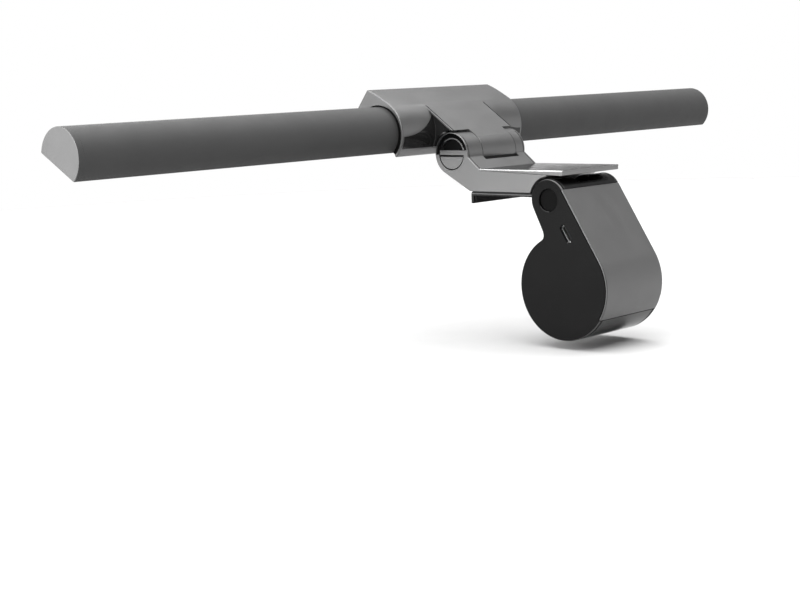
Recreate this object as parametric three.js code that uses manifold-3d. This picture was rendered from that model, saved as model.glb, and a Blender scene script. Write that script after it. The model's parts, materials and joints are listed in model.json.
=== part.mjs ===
// Monitor light bar: a D-section lamp bar in a sleeve, on an arm that tilts on a hook, which rests on a
// screen's top edge and carries a free-swinging counterweight behind it.
// Millimetres. X runs along the bar, +Y points to the back of the screen, +Z up.
// The origin is the middle of the rest pad's underside, where the hook sits on the screen.
import * as THREE from "three";
import { mergeVertices } from "three/addons/utils/BufferGeometryUtils.js";
import Module from "manifold-3d";

const wasm = await Module();
wasm.setup();

// ---------------------------------------------------------------- driving dimensions
const GAP = 0.3; // between pieces that touch
const STUD_GAP = 0.1; // between a pin and the bush that it turns in

const BAR_LENGTH = 450;
const BAR_CENTRE = { y: -53.9, z: 30.3 }; // axis of the bar's round back
const BAR_RADIUS = 12.4;
const BAR_FLAT = 4.2; // the light face's distance from the axis
const BAR_WALL = 1.4;
const LIGHT_TURN = -29; // degrees that the light face is turned forward from straight down
const WINDOW_WIDTH = 16.4;
const CAP_THICKNESS = 2.5;
const CAP_PLUG = 7;

const SLEEVE_HALF = 44.5;
const SLEEVE_RADIUS = 15.5;
const SLEEVE_FRONT_EDGE = [-6.4, 20.5]; // sharp top edge, from the bar's axis
const SLEEVE_NOSE = [-17.8, 5.9];
const SLEEVE_FRONT_END = 172; // where the sleeve's wall stops round the bar, in degrees
const SLEEVE_BACK_END = -47;
const FAIRING_DEPTH = 1.5; // how deep the black fairing is let into the sleeve's back

const HINGE = { y: -28.8, z: 19.4 }; // lamp tilt axis
const BARREL_RADIUS = 10;
const KNUCKLE = [-14.6, 10]; // the arm's knuckle between the hook's ears
const HOOK_HALF = 21.6;
const HINGE_PIN_RADIUS = 2.5;
const HINGE_CAP_RADIUS = 7.2;

const HOOK_UNDERSIDE = 2;
const PAD_HALF_LENGTH = 18;
const PLATE_FRONT = [-11.9, 12.5];
const PLATE_BACK = [36.2, 12.4];
const PLATE_EDGE = 2.5; // thickness of the top plate at its back edge
const LIP_DROP = 4; // how far the front lip reaches below the pad's underside

const PIVOT = { y: 27.9, z: -0.95 }; // counterweight axis
const PIVOT_RADIUS = 9.5;
const DRUM = { y: 35.25, z: -40.4 };
const DRUM_RADIUS = 24.2;
const WEIGHT_HALF = 21.8;
const SIDE_PLATE = 1.8;
const NECK_TURN = 206; // where the front of the neck leaves the pivot's circle, in degrees
const DRUM_START = 119; // where the neck's fillet meets the drum
const COVER_END = -34;
const COVER_THICKNESS = 1.6;
const PIVOT_PIN_RADIUS = 2.5;
const WEIGHT_CORE = WEIGHT_HALF - SIDE_PLATE - GAP; // half width of the housing between the side plates
const LUG_HALF = 6.3;
const LUG_RADIUS = 6.2;
const LUG_NECK = [105, 197]; // the directions in which the lug reaches out past its round end
const SWING = [-35, 55]; // how far the counterweight swings, in degrees

const USB = { y: 37.4, z: -15.85 };
const USB_LENGTH = 8.9;
const USB_HEIGHT = 3.2;

// ---------------------------------------------------------------- finishes
const finish = (color, roughness, metalness) =>
  new THREE.MeshStandardMaterial({ color, roughness, metalness });
const FINISH = {
  barPaint: () => finish(0x4b4b4c, 0.6, 0.1),
  capPlastic: () => finish(0x9a9a9b, 0.5, 0),
  greyGloss: () => finish(0x8b8c8d, 0.3, 0.2),
  blackGloss: () => finish(0x141415, 0.12, 0),
  blackMatt: () => finish(0x1d1d1e, 0.7, 0),
  coverPaint: () => finish(0x6a6a6b, 0.45, 0.2),
  plateMetal: () => finish(0x8f9092, 0.15, 1),
  steel: () => finish(0xa9abad, 0.3, 1),
  brass: () => finish(0xb08d45, 0.35, 1),
  rubber: () => finish(0x1a1a1a, 0.9, 0),
  board: () => finish(0x1f5a35, 0.5, 0),
  white: () => finish(0xe8e8e4, 0.5, 0),
};

// ---------------------------------------------------------------- solids from three geometries
const UPRIGHT = new THREE.Matrix4().makeBasis(
  new THREE.Vector3(0, 1, 0),
  new THREE.Vector3(0, 0, 1),
  new THREE.Vector3(1, 0, 0),
);
const radians = THREE.MathUtils.degToRad;

function solid(geometry) {
  const bare = geometry.clone();
  bare.deleteAttribute("normal");
  bare.deleteAttribute("uv");
  const merged = mergeVertices(bare, 1e-4);
  return new wasm.Manifold(
    new wasm.Mesh({
      numProp: 3,
      vertProperties: new Float32Array(merged.attributes.position.array),
      triVerts: new Uint32Array(merged.index.array),
    }),
  );
}

function geometryOf(body) {
  const mesh = body.getMesh();
  return new THREE.BufferGeometry()
    .setAttribute("position", new THREE.BufferAttribute(mesh.vertProperties, 3))
    .setIndex(new THREE.BufferAttribute(mesh.triVerts, 1))
    .toNonIndexed();
}

const join = (first, ...others) => others.reduce((sum, other) => sum.add(other), first);
const cut = (first, ...others) => others.reduce((rest, other) => rest.subtract(other), first);

// A side outline, as [y, z] points, stretched from x0 to x1.
function prism(outline, x0, x1) {
  const shape = new THREE.Shape(outline.map(([y, z]) => new THREE.Vector2(y, z)));
  const geometry = new THREE.ExtrudeGeometry(shape, { depth: x1 - x0, bevelEnabled: false });
  geometry.translate(0, 0, x0);
  geometry.applyMatrix4(UPRIGHT);
  return solid(geometry);
}

// A round bar between two points.
function rod(radius, from, to, sides = 16) {
  const start = new THREE.Vector3(...from);
  const line = new THREE.Vector3(...to).sub(start);
  const geometry = new THREE.CylinderGeometry(radius, radius, line.length(), sides);
  geometry.translate(0, line.length() / 2, 0);
  const turn = new THREE.Quaternion().setFromUnitVectors(
    new THREE.Vector3(0, 1, 0),
    line.clone().normalize(),
  );
  geometry.applyQuaternion(turn);
  geometry.translate(start.x, start.y, start.z);
  return solid(geometry);
}

// A flexible lead through the given points.
function lead(radius, points) {
  const route = new THREE.CatmullRomCurve3(points.map((p) => new THREE.Vector3(...p)));
  const section = new THREE.Shape();
  section.absarc(0, 0, radius, 0, Math.PI * 2);
  const geometry = new THREE.ExtrudeGeometry(section, {
    steps: 4 * points.length,
    curveSegments: 4,
    extrudePath: route,
  });
  return solid(geometry);
}

// ---------------------------------------------------------------- outlines in the side view
const along = (degrees, length = 1) => [
  length * Math.cos(radians(degrees)),
  length * Math.sin(radians(degrees)),
];
const shift = (centre, [dy, dz]) => [centre.y + dy, centre.z + dz];
const onCircle = (centre, radius, degrees) => shift(centre, along(degrees, radius));

function arc(centre, radius, from, to, steps) {
  return Array.from({ length: steps + 1 }, (_, i) =>
    onCircle(centre, radius, from + ((to - from) * i) / steps),
  );
}

const disc = (centre, radius, x0, x1, steps = 24) =>
  prism(arc(centre, radius, 0, 360, steps).slice(1), x0, x1);

function ring(centre, inner, outer, x0, x1, steps = 24) {
  return cut(disc(centre, outer, x0, x1, steps), disc(centre, inner, x0 - 1, x1 + 1, steps));
}

const rectangle = (y0, z0, y1, z1) => [[y0, z0], [y1, z0], [y1, z1], [y0, z1]];

// A rectangle about a centre, its long side turned by some degrees.
function turnedRectangle(centre, length, width, degrees) {
  const [cos, sin] = along(degrees);
  return [[-1, -1], [1, -1], [1, 1], [-1, 1]].map(([a, b]) => {
    const u = (a * length) / 2;
    const v = (b * width) / 2;
    return shift(centre, [u * cos - v * sin, u * sin + v * cos]);
  });
}

// A slot with round ends, its long side turned by some degrees.
function slotOutline(centre, length, width, degrees) {
  const half = (length - width) / 2;
  const [cos, sin] = along(degrees);
  const right = shift(centre, [half * cos, half * sin]);
  const left = shift(centre, [-half * cos, -half * sin]);
  return [
    ...arc({ y: right[0], z: right[1] }, width / 2, degrees - 90, degrees + 90, 6),
    ...arc({ y: left[0], z: left[1] }, width / 2, degrees + 90, degrees + 270, 6),
  ];
}

// The bar's section: a circle cut by the light face, which looks along faceTurn.
function barOutline(centre, radius, flat, faceTurn) {
  const half = THREE.MathUtils.radToDeg(Math.acos(flat / radius));
  return arc(centre, radius, faceTurn + half, faceTurn + 360 - half, 40);
}

// The angle of the outer tangent that touches both circles, the first one seen from the second.
function tangentTurn(first, firstRadius, second, secondRadius) {
  const dy = second.y - first.y;
  const dz = second.z - first.z;
  const lean = Math.acos((firstRadius - secondRadius) / Math.hypot(dy, dz));
  return THREE.MathUtils.radToDeg(Math.atan2(dz, dy) + lean);
}

// ---------------------------------------------------------------- assembling
const root = new THREE.Group();
const barGroup = new THREE.Group();
barGroup.position.set(0, BAR_CENTRE.y, BAR_CENTRE.z);
barGroup.rotation.x = radians(LIGHT_TURN);
root.add(barGroup);

function piece(name, body, material, parent = root) {
  const mesh = new THREE.Mesh(geometryOf(body), material());
  mesh.name = name;
  parent.add(mesh);
}

// ---------------------------------------------------------------- lamp bar, face down in its own group
const AXIS = { y: 0, z: 0 };
const DOWN = -90;
const HOUSING_END = BAR_LENGTH / 2 - CAP_THICKNESS - GAP;
const INSIDE_END = HOUSING_END - CAP_PLUG - 1;

function barHousing() {
  const outer = barOutline(AXIS, BAR_RADIUS, BAR_FLAT, DOWN);
  const inner = barOutline(AXIS, BAR_RADIUS - BAR_WALL, BAR_FLAT - BAR_WALL, DOWN).reverse();
  const half = WINDOW_WIDTH / 2;
  const top = -BAR_FLAT + BAR_WALL;
  const leftLip = [[-half, -BAR_FLAT], [-half, top]];
  const rightLip = [[half, top], [half, -BAR_FLAT]];
  const section = [...outer, ...leftLip, ...inner, ...rightLip];
  const body = prism(section, -HOUSING_END, HOUSING_END);
  return cut(body, ...screwHoles(1.6), leadHole(2));
}

// The screws that hold the bar in its sleeve stand across the sleeve's thick front.
const SCREW_TURN = 107 - LIGHT_TURN;
const SCREW_X = 37;
const screwRod = (radius, x, from, to) =>
  rod(radius, [x, ...along(SCREW_TURN, from)], [x, ...along(SCREW_TURN, to)], 12);
const screwHoles = (radius) => [-SCREW_X, SCREW_X].map((x) => screwRod(radius, x, 9, 18.4));

// The lamp's lead leaves the bar towards the hinge.
const LEAD_RADIUS = 1;
const LEAD_TURN = 5;
const leadHole = (radius) =>
  rod(radius, [0, ...along(LEAD_TURN - LIGHT_TURN, 9)], [0, ...along(LEAD_TURN - LIGHT_TURN, 14)], 12);

function endCap(side) {
  const outer = BAR_LENGTH / 2;
  const plate = prism(barOutline(AXIS, BAR_RADIUS, BAR_FLAT, DOWN), outer - CAP_THICKNESS, outer);
  const plugOutline = barOutline(AXIS, BAR_RADIUS - BAR_WALL - GAP, BAR_FLAT - BAR_WALL - GAP, DOWN);
  const plug = prism(plugOutline, outer - CAP_THICKNESS - CAP_PLUG, outer - CAP_THICKNESS + 0.5);
  const body = join(plate, plug);
  return side > 0 ? body : body.mirror([1, 0, 0]);
}

function diffuser() {
  const lens = WINDOW_WIDTH / 2 - GAP;
  const flange = lens + 2;
  const low = -BAR_FLAT + BAR_WALL + GAP;
  const section = [
    [-lens, -BAR_FLAT],
    [lens, -BAR_FLAT],
    [lens, low],
    [flange, low],
    [flange, low + 1],
    [-flange, low + 1],
    [-flange, low],
    [-lens, low],
  ];
  return prism(section, -INSIDE_END, INSIDE_END);
}

function reflector() {
  const half = [
    [9.9, -1.1],
    [8, 2.4],
    [5.9, 4.9],
  ];
  const outer = half.concat(half.map(([y, z]) => [-y, z]).reverse());
  const inner = outer.map(([y, z]) => [y - 0.6 * Math.sign(y), z > 4 ? z - 0.6 : z]).reverse();
  return prism([...outer, ...inner], -INSIDE_END, INSIDE_END);
}

piece("bar_housing", barHousing(), FINISH.barPaint, barGroup);
piece("end_cap_left", endCap(1), FINISH.capPlastic, barGroup);
piece("end_cap_right", endCap(-1), FINISH.capPlastic, barGroup);
piece("diffuser", diffuser(), FINISH.white, barGroup);
piece("reflector", reflector(), FINISH.white, barGroup);
const bar = (outline, x0, x1) => prism(rectangle(...outline), x0, x1);
piece("led_board", bar([-4.6, 3.2, 4.6, 4], -INSIDE_END, INSIDE_END), FINISH.board, barGroup);
piece("led_strip", bar([-1.4, 2.1, 1.4, 2.9], -INSIDE_END + 3, INSIDE_END - 3), FINISH.white, barGroup);
piece("driver_board", bar([-6.5, 5.9, 6.5, 6.9], 44, 124), FINISH.board, barGroup);
piece("driver_choke", bar([-3, 7.2, 3, 9.6], 96, 104), FINISH.blackMatt, barGroup);
[["left", SCREW_X], ["right", -SCREW_X]].forEach(([side, x]) => {
  const screw = join(screwRod(2.4, x, 8.6, 10.3), screwRod(1.3, x, 10, 18));
  piece("sleeve_screw_" + side, screw, FINISH.steel, barGroup);
});

// ---------------------------------------------------------------- sleeve and arm
const FACE_TURN = 270 + LIGHT_TURN;
const ARM_TURN = tangentTurn(BAR_CENTRE, SLEEVE_RADIUS, HINGE, BARREL_RADIUS);
const ARM_PLATE = 2.2;
const ARM_COVER_DEPTH = 9;
const EAR_CLEARANCE = BARREL_RADIUS + 0.7;
const fromBar = (offset) => shift(BAR_CENTRE, offset);

// The curved top between the sharp front edge and the round back, as a quadratic curve.
function sleeveTop() {
  const start = new THREE.Vector2(...fromBar(along(59, SLEEVE_RADIUS)));
  const middle = new THREE.Vector2(...fromBar([-1.1, 18.7]));
  const end = new THREE.Vector2(...fromBar(SLEEVE_FRONT_EDGE));
  return new THREE.QuadraticBezierCurve(start, middle, end).getPoints(6).map((p) => [p.x, p.y]);
}

function sleeveSection() {
  const inside = BAR_RADIUS + GAP;
  return [
    ...arc(BAR_CENTRE, SLEEVE_RADIUS, SLEEVE_BACK_END, 59, 26),
    ...sleeveTop().slice(1),
    fromBar(SLEEVE_NOSE),
    fromBar(along(SLEEVE_FRONT_END, SLEEVE_RADIUS)),
    ...arc(BAR_CENTRE, inside, SLEEVE_FRONT_END, SLEEVE_BACK_END, 44),
  ];
}

// Points a given depth under the arm's top face; distance 0 is level with the hinge.
const armFace = onCircle(HINGE, BARREL_RADIUS, ARM_TURN);
function armPoint(distance, depth) {
  const [ny, nz] = along(ARM_TURN);
  return [armFace[0] - distance * nz - depth * ny, armFace[1] + distance * ny - depth * nz];
}
const ARM_LENGTH = Math.hypot(BAR_CENTRE.y - HINGE.y, BAR_CENTRE.z - HINGE.z);

function armBlock(top, depth, x0, x1) {
  const slab = [
    armPoint(0, top),
    armPoint(ARM_LENGTH, top),
    armPoint(ARM_LENGTH, depth),
    armPoint(0, depth),
  ];
  return cut(prism(slab, x0, x1), disc(BAR_CENTRE, SLEEVE_RADIUS - 0.6, x0 - 1, x1 + 1, 48));
}

// Both ears of the hook turn under the arm in these two gaps beside the knuckle.
const earRooms = (radius) => [
  disc(HINGE, radius, KNUCKLE[1], HOOK_HALF + 2, 40),
  disc(HINGE, radius, -HOOK_HALF - 2, KNUCKLE[0], 40),
];

// The fairing's outline on the sleeve's back, seen from behind as [x, z]: low at the sleeve's ends, and
// swept up to the arm's edges.
function fairingRegion(grow) {
  const low = BAR_CENTRE.z + along(-29, SLEEVE_RADIUS)[1] - grow;
  const end = SLEEVE_HALF + 1;
  const sweep = [
    [end, -1.7],
    [37, -0.8],
    [31, 0.7],
    [26.5, 3.3],
    [23.2, 5.9],
    [22, 7.3],
  ].map(([x, z]) => [x, BAR_CENTRE.z + z + grow]);
  const outline = [[-end, low], [end, low], ...sweep, ...sweep.map(([x, z]) => [-x, z]).reverse()];
  const shape = new THREE.Shape(outline.map(([x, z]) => new THREE.Vector2(x, z)));
  const geometry = new THREE.ExtrudeGeometry(shape, { depth: 20, bevelEnabled: false });
  geometry.rotateX(Math.PI / 2);
  geometry.translate(0, BAR_CENTRE.y + 20 + 6, 0);
  return solid(geometry);
}

function lampCarrier() {
  const sleeve = prism(sleeveSection(), -SLEEVE_HALF, SLEEVE_HALF);
  const plate = armBlock(0, ARM_PLATE, -HOOK_HALF - 0.4, HOOK_HALF + 0.4);
  const rib = armBlock(ARM_PLATE - 0.1, 7, KNUCKLE[0], KNUCKLE[1]);
  const knuckle = disc(HINGE, BARREL_RADIUS, KNUCKLE[0], KNUCKLE[1], 40);
  const pocket = [
    [-6.8, 17],
    [-14.9, 6.6],
    [-12, 3.2],
    [-2, 11.5],
    [3.5, 12],
    [3, 14.2],
  ].map(fromBar);
  const fairingRoom = cut(
    fairingRegion(0),
    disc(BAR_CENTRE, SLEEVE_RADIUS - FAIRING_DEPTH, -SLEEVE_HALF - 3, SLEEVE_HALF + 3, 48),
    armBlock(-3, ARM_PLATE + 0.01, -HOOK_HALF - 0.4, HOOK_HALF + 0.4),
  );
  return cut(
    join(cut(sleeve, fairingRoom), cut(join(plate, rib), ...earRooms(EAR_CLEARANCE)), knuckle),
    prism(pocket, -31, 31),
    disc(HINGE, 3.9, -40, 40),
    ...carrierHoles(),
  );
}

// Threads for the sleeve screws and the way for the lead, both stated in the bar's group.
function carrierHoles() {
  const place = new THREE.Matrix4().compose(
    barGroup.position,
    new THREE.Quaternion().setFromEuler(barGroup.rotation),
    new THREE.Vector3(1, 1, 1),
  );
  const turned = (body) => solid(geometryOf(body).applyMatrix4(place));
  return [...screwHoles(1.6).map(turned), armLeadRoom(1.7)];
}

const leadPoint = (x, distance) => [x, ...fromBar(along(LEAD_TURN, distance))];
const armLeadRoom = (radius) => rod(radius, leadPoint(0, 11), leadPoint(0, 17.4), 12);

// The black fairing closes the arm's underside and sweeps out over the sleeve's back.
function armFairing() {
  const skin = cut(
    fairingRegion(-GAP),
    disc(BAR_CENTRE, SLEEVE_RADIUS - FAIRING_DEPTH + GAP, -SLEEVE_HALF - 3, SLEEVE_HALF + 3, 48),
  ).intersect(disc(BAR_CENTRE, SLEEVE_RADIUS, -SLEEVE_HALF, SLEEVE_HALF, 64));
  const block = armBlock(ARM_PLATE + GAP, ARM_COVER_DEPTH + 4, -HOOK_HALF + 0.2, HOOK_HALF - 0.2);
  const belly = disc(BAR_CENTRE, SLEEVE_RADIUS + 12, -HOOK_HALF, HOOK_HALF, 48);
  const room = armBlock(-5, 7 + GAP, KNUCKLE[0] - GAP, KNUCKLE[1] + GAP);
  return cut(
    join(skin, block.intersect(belly)),
    room,
    armBlock(-5, ARM_PLATE + GAP, -HOOK_HALF - 5, HOOK_HALF + 5),
    disc(HINGE, BARREL_RADIUS + GAP, KNUCKLE[0] - GAP, KNUCKLE[1] + GAP, 40),
    ...earRooms(EAR_CLEARANCE),
    armLeadRoom(1.7),
  );
}

// Points along the sleeve's front face, from its sharp edge, and a depth under it.
function frontPoint(distance, depth) {
  const [y0, z0] = fromBar(SLEEVE_FRONT_EDGE);
  const [y1, z1] = fromBar(SLEEVE_NOSE);
  const length = Math.hypot(y1 - y0, z1 - z0);
  const [dy, dz] = [(y1 - y0) / length, (z1 - z0) / length];
  return [y0 + distance * dy - depth * dz, z0 + distance * dz + depth * dy];
}

function frontSlab(start, end, top, bottom, half) {
  const outline = [
    frontPoint(start, top),
    frontPoint(end, top),
    frontPoint(end, bottom),
    frontPoint(start, bottom),
  ];
  return prism(outline, -half, half);
}

function bush(centre, x0, x1) {
  return ring(centre, HINGE_PIN_RADIUS + STUD_GAP, 3.6, x0, x1);
}

piece("lamp_carrier", lampCarrier(), FINISH.greyGloss);
piece("arm_fairing", armFairing(), FINISH.blackGloss);
piece("touch_strip", frontSlab(3, 15, -0.9, -GAP, 34), FINISH.blackGloss);
piece("touch_board", frontSlab(4.5, 14.5, 2.1, 3.1, 29), FINISH.board);
piece("knuckle_bush_left", bush(HINGE, 2.5, KNUCKLE[1]), FINISH.brass);
piece("knuckle_bush_right", bush(HINGE, KNUCKLE[0], -7), FINISH.brass);

const LAMP_LEAD = [
  leadPoint(42, 8.9),
  leadPoint(12, 8.9),
  leadPoint(3, 9.3),
  leadPoint(0, 12),
  leadPoint(0, 16.6),
];
piece("lamp_lead", lead(LEAD_RADIUS, LAMP_LEAD), FINISH.rubber);

// ---------------------------------------------------------------- hook
const RAMP_TURN = -8; // where the ramp leaves the ear's circle
const FRONT_TURN = 240.6; // where the sloping front meets it
const UNDERCUT_RADIUS = PIVOT_RADIUS + 1.1; // the hook's hollow back end, over the counterweight
const COVER_HALF = 19;
const COVER_FRONT = -15.5;
const COVER_BACK = 14;
const COVER_TOP = HOOK_UNDERSIDE + 1.6;
const EAR_POCKET = 7.5;
const PIN_LEFT = 17.8;
const PIN_RIGHT = -20;

const undercutLean = Math.asin((HOOK_UNDERSIDE - PIVOT.z) / UNDERCUT_RADIUS);
const UNDERCUT_START = 180 - THREE.MathUtils.radToDeg(undercutLean);
const UNDERCUT_END = 94;
const PLATE_LIP = 0.5; // thickness of the top plate at its front edge

// The hook's side: ear, sloping front, level underside, hollow back end and the slope under the top plate.
function hookSide() {
  const seat = PLATE_FRONT[1] - PLATE_LIP - GAP;
  const fall = (PLATE_EDGE - PLATE_LIP) / (PLATE_BACK[0] - PLATE_FRONT[0]);
  const [tip] = onCircle(PIVOT, UNDERCUT_RADIUS, UNDERCUT_END);
  return [
    ...arc(HINGE, BARREL_RADIUS, RAMP_TURN, FRONT_TURN, 44),
    [-18.6, HOOK_UNDERSIDE + 0.3],
    [-18, HOOK_UNDERSIDE],
    ...arc(PIVOT, UNDERCUT_RADIUS, UNDERCUT_START, UNDERCUT_END, 12),
    [tip, seat - (tip - PLATE_FRONT[0]) * fall],
    [PLATE_FRONT[0], seat],
    [PLATE_FRONT[0] - 0.3, PLATE_FRONT[1]],
  ];
}

// The lug that the counterweight hangs from.
function lug() {
  const outline = [
    [17, 5.5],
    [17, HOOK_UNDERSIDE + 0.1],
    [18, HOOK_UNDERSIDE + 0.1],
    ...arc(PIVOT, LUG_RADIUS, -143, 88, 20),
  ];
  return prism(outline, -LUG_HALF, LUG_HALF);
}

function hookBody() {
  const side = prism(hookSide(), -HOOK_HALF, HOOK_HALF);
  const hollow = [
    [-12.4, HOOK_UNDERSIDE - 1],
    [12.5, HOOK_UNDERSIDE - 1],
    [12.5, 8],
    [-10, 9],
    [-12.4, 7],
  ];
  const coverSeat = rectangle(COVER_FRONT - GAP, HOOK_UNDERSIDE - 1, COVER_BACK + GAP, COVER_TOP + GAP);
  return cut(
    join(side, lug()),
    disc(HINGE, BARREL_RADIUS + 0.35, KNUCKLE[0] - GAP, KNUCKLE[1] + GAP, 40),
    prism(hollow, -17, 17),
    prism(coverSeat, -COVER_HALF - GAP, COVER_HALF + GAP),
    disc(HINGE, HINGE_PIN_RADIUS + GAP, -30, 30),
    disc(HINGE, EAR_POCKET, 15.6, HOOK_HALF + 1, 32),
    disc(HINGE, EAR_POCKET, -HOOK_HALF - 1, -16.8, 32),
    disc(HINGE, 7.1, KNUCKLE[1], KNUCKLE[1] + 1.4, 24),
    disc(PIVOT, PIVOT_PIN_RADIUS + GAP, -30, 30),
    leadDuct(),
    ...BASE_SCREWS.map(([, x]) => screwHole(x, 1.1, 6.4)),
  );
}

// Two countersunk screws hold the base cover; the rest pad hides their heads.
const BASE_SCREWS = [
  ["left", 14],
  ["right", -14],
];
const BASE_SCREW_Y = -14;
const screwHole = (x, radius, top) => rod(radius, [x, BASE_SCREW_Y, 1], [x, BASE_SCREW_Y, top], 12);

// The lead's ducts run from the left ear's pocket, and from the lug, into the hook's hollow.
const EAR_DUCT = [
  [17.4, -24.4, 15.9],
  [14.5, -11.6, 6],
];
const LUG_DUCT = [
  [3.8, 11, 5.8],
  [3.8, 23.4, 2.4],
];
const leadDuct = () => join(rod(2, ...EAR_DUCT, 10), rod(2, ...LUG_DUCT, 10));

function topPlate() {
  const section = [
    PLATE_FRONT,
    [PLATE_FRONT[0], PLATE_FRONT[1] - PLATE_LIP],
    [PLATE_BACK[0], PLATE_BACK[1] - PLATE_EDGE],
    PLATE_BACK,
  ];
  return prism(section, -HOOK_HALF, HOOK_HALF);
}

function frontLip() {
  const front = -PAD_HALF_LENGTH - 2.4;
  const section = [
    [front, -LIP_DROP],
    [front + 1.5, -LIP_DROP],
    [front + 1.5, HOOK_UNDERSIDE - 1.2],
    [-17.4, HOOK_UNDERSIDE - 1.2],
    [-17.4, HOOK_UNDERSIDE - GAP],
    [front, HOOK_UNDERSIDE - GAP],
  ];
  return prism(section, -18, 18);
}

function hingePin() {
  const pin = disc(HINGE, HINGE_PIN_RADIUS, PIN_RIGHT, PIN_LEFT);
  const head = disc(HINGE, 5, PIN_LEFT - 1.9, PIN_LEFT);
  return join(pin, head);
}

// The left cap: its lower half is flush with the hook's side, its upper half lies deep.
function hingeCap() {
  const face = HOOK_HALF - 0.1;
  const deep = rectangle(HINGE.y - 9, HINGE.z + 0.4, HINGE.y + 9, HINGE.z + 9);
  return cut(disc(HINGE, HINGE_CAP_RADIUS, PIN_LEFT + GAP, face, 32), prism(deep, face - 2, face + 1));
}

const hexagon = (centre, radius) => arc(centre, radius, 0, 300, 5);

function discSpring() {
  const profile = [
    [2.8, 0],
    [5.6, 0.7],
    [5.6, 1.1],
    [2.8, 0.4],
    [2.8, 0],
  ].map(([radius, height]) => new THREE.Vector2(radius, height));
  const geometry = new THREE.LatheGeometry(profile, 24);
  geometry.rotateZ(Math.PI / 2);
  geometry.translate(-17.2, HINGE.y, HINGE.z);
  return solid(geometry);
}

function baseScrew(x) {
  const at = (height) => [x, BASE_SCREW_Y, height];
  const head = rod(1.5, at(HOOK_UNDERSIDE + 0.1), at(HOOK_UNDERSIDE + 0.9), 12);
  const shank = rod(0.8, at(HOOK_UNDERSIDE + 0.8), at(6), 12);
  return join(head, shank);
}

function baseCover() {
  const outline = rectangle(COVER_FRONT, HOOK_UNDERSIDE, COVER_BACK, COVER_TOP);
  const holes = BASE_SCREWS.flatMap(([, x]) => [
    screwHole(x, 1.8, HOOK_UNDERSIDE + 1.1),
    screwHole(x, 1.1, 6),
  ]);
  return cut(prism(outline, -COVER_HALF, COVER_HALF), ...holes);
}

function lipPad() {
  const front = -PAD_HALF_LENGTH - 2.4 + 1.5 + GAP;
  return prism(rectangle(front, -LIP_DROP + 0.3, front + 0.6, -GAP), -17, 17);
}

function restPad() {
  const outline = rectangle(-PAD_HALF_LENGTH + 0.9, 0, PAD_HALF_LENGTH, HOOK_UNDERSIDE - GAP);
  return prism(outline, -HOOK_HALF + 0.8, HOOK_HALF - 0.8);
}

function hookLead() {
  const route = [[17.2, -23.5, 15.2], EAR_DUCT[1], [9, 0, 5.6], [4.4, 8, 5.9], LUG_DUCT[0], [3.8, 20, 3.3]];
  return lead(LEAD_RADIUS, route);
}

function hingeNut() {
  return cut(prism(hexagon(HINGE, 4.6), -19.8, -18.6), disc(HINGE, 2.8, -21, -15));
}

const hingeCapRight = () => disc(HINGE, HINGE_CAP_RADIUS, -HOOK_HALF + 0.1, PIN_RIGHT - GAP, 32);
const hingeWasher = () => ring(HINGE, 2.8, 6.7, KNUCKLE[1] + 0.35, KNUCKLE[1] + 1.1);
const pivotPin = () => disc(PIVOT, PIVOT_PIN_RADIUS, -WEIGHT_CORE + GAP, WEIGHT_CORE - GAP);

piece("hook_body", hookBody(), FINISH.greyGloss);
piece("top_plate", topPlate(), FINISH.plateMetal);
piece("base_cover", baseCover(), FINISH.blackMatt);
BASE_SCREWS.forEach(([side, x]) => piece("base_screw_" + side, baseScrew(x), FINISH.steel));
piece("rest_pad", restPad(), FINISH.rubber);
piece("front_lip", frontLip(), FINISH.blackMatt);
piece("lip_pad", lipPad(), FINISH.rubber);
piece("hinge_pin", hingePin(), FINISH.steel);
piece("hinge_cap_left", hingeCap(), FINISH.greyGloss);
piece("hinge_washer", hingeWasher(), FINISH.brass);
piece("hinge_spring", discSpring(), FINISH.steel);
piece("hinge_nut", hingeNut(), FINISH.steel);
piece("hinge_cap_right", hingeCapRight(), FINISH.greyGloss);
piece("pivot_pin", pivotPin(), FINISH.steel);
piece("hook_lead", hookLead(), FINISH.rubber);

// ---------------------------------------------------------------- counterweight
const BACK_TURN = tangentTurn(PIVOT, PIVOT_RADIUS, DRUM, DRUM_RADIUS);
const BACK_LINE = BACK_TURN - 90;
const PAD_TURN = 12;

// The pear shape: pivot circle, front neck with its fillet, drum and straight back.
function weightOutline(inset) {
  const neck = onCircle(PIVOT, PIVOT_RADIUS - inset, NECK_TURN);
  const neckPoint = (t) => shift({ y: neck[0], z: neck[1] }, along(NECK_TURN + 90, t));
  const fillet = new THREE.QuadraticBezierCurve(
    new THREE.Vector2(...neckPoint(10.5)),
    new THREE.Vector2(...neckPoint(14)),
    new THREE.Vector2(...onCircle(DRUM, DRUM_RADIUS - inset, DRUM_START)),
  );
  return [
    ...arc(PIVOT, PIVOT_RADIUS - inset, BACK_TURN, NECK_TURN, 20),
    ...fillet.getPoints(4).slice(0, -1).map((p) => [p.x, p.y]),
    ...arc(DRUM, DRUM_RADIUS - inset, DRUM_START, 360 + BACK_TURN, 40),
  ];
}

// The cover's section down the straight back and round the drum, between two depths.
function coverOutline(outer, inner, more) {
  const edge = (inset) => [
    onCircle(PIVOT, PIVOT_RADIUS - inset, BACK_TURN + 4 * more),
    onCircle(PIVOT, PIVOT_RADIUS - inset, BACK_TURN),
    ...arc(DRUM, DRUM_RADIUS - inset, BACK_TURN, COVER_END - more, 12),
  ];
  return [...edge(outer), ...edge(inner).reverse()];
}

function coverRoom() {
  return prism(coverOutline(-1, COVER_THICKNESS + GAP, 0.7), -WEIGHT_HALF - 1, WEIGHT_HALF + 1);
}

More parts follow.
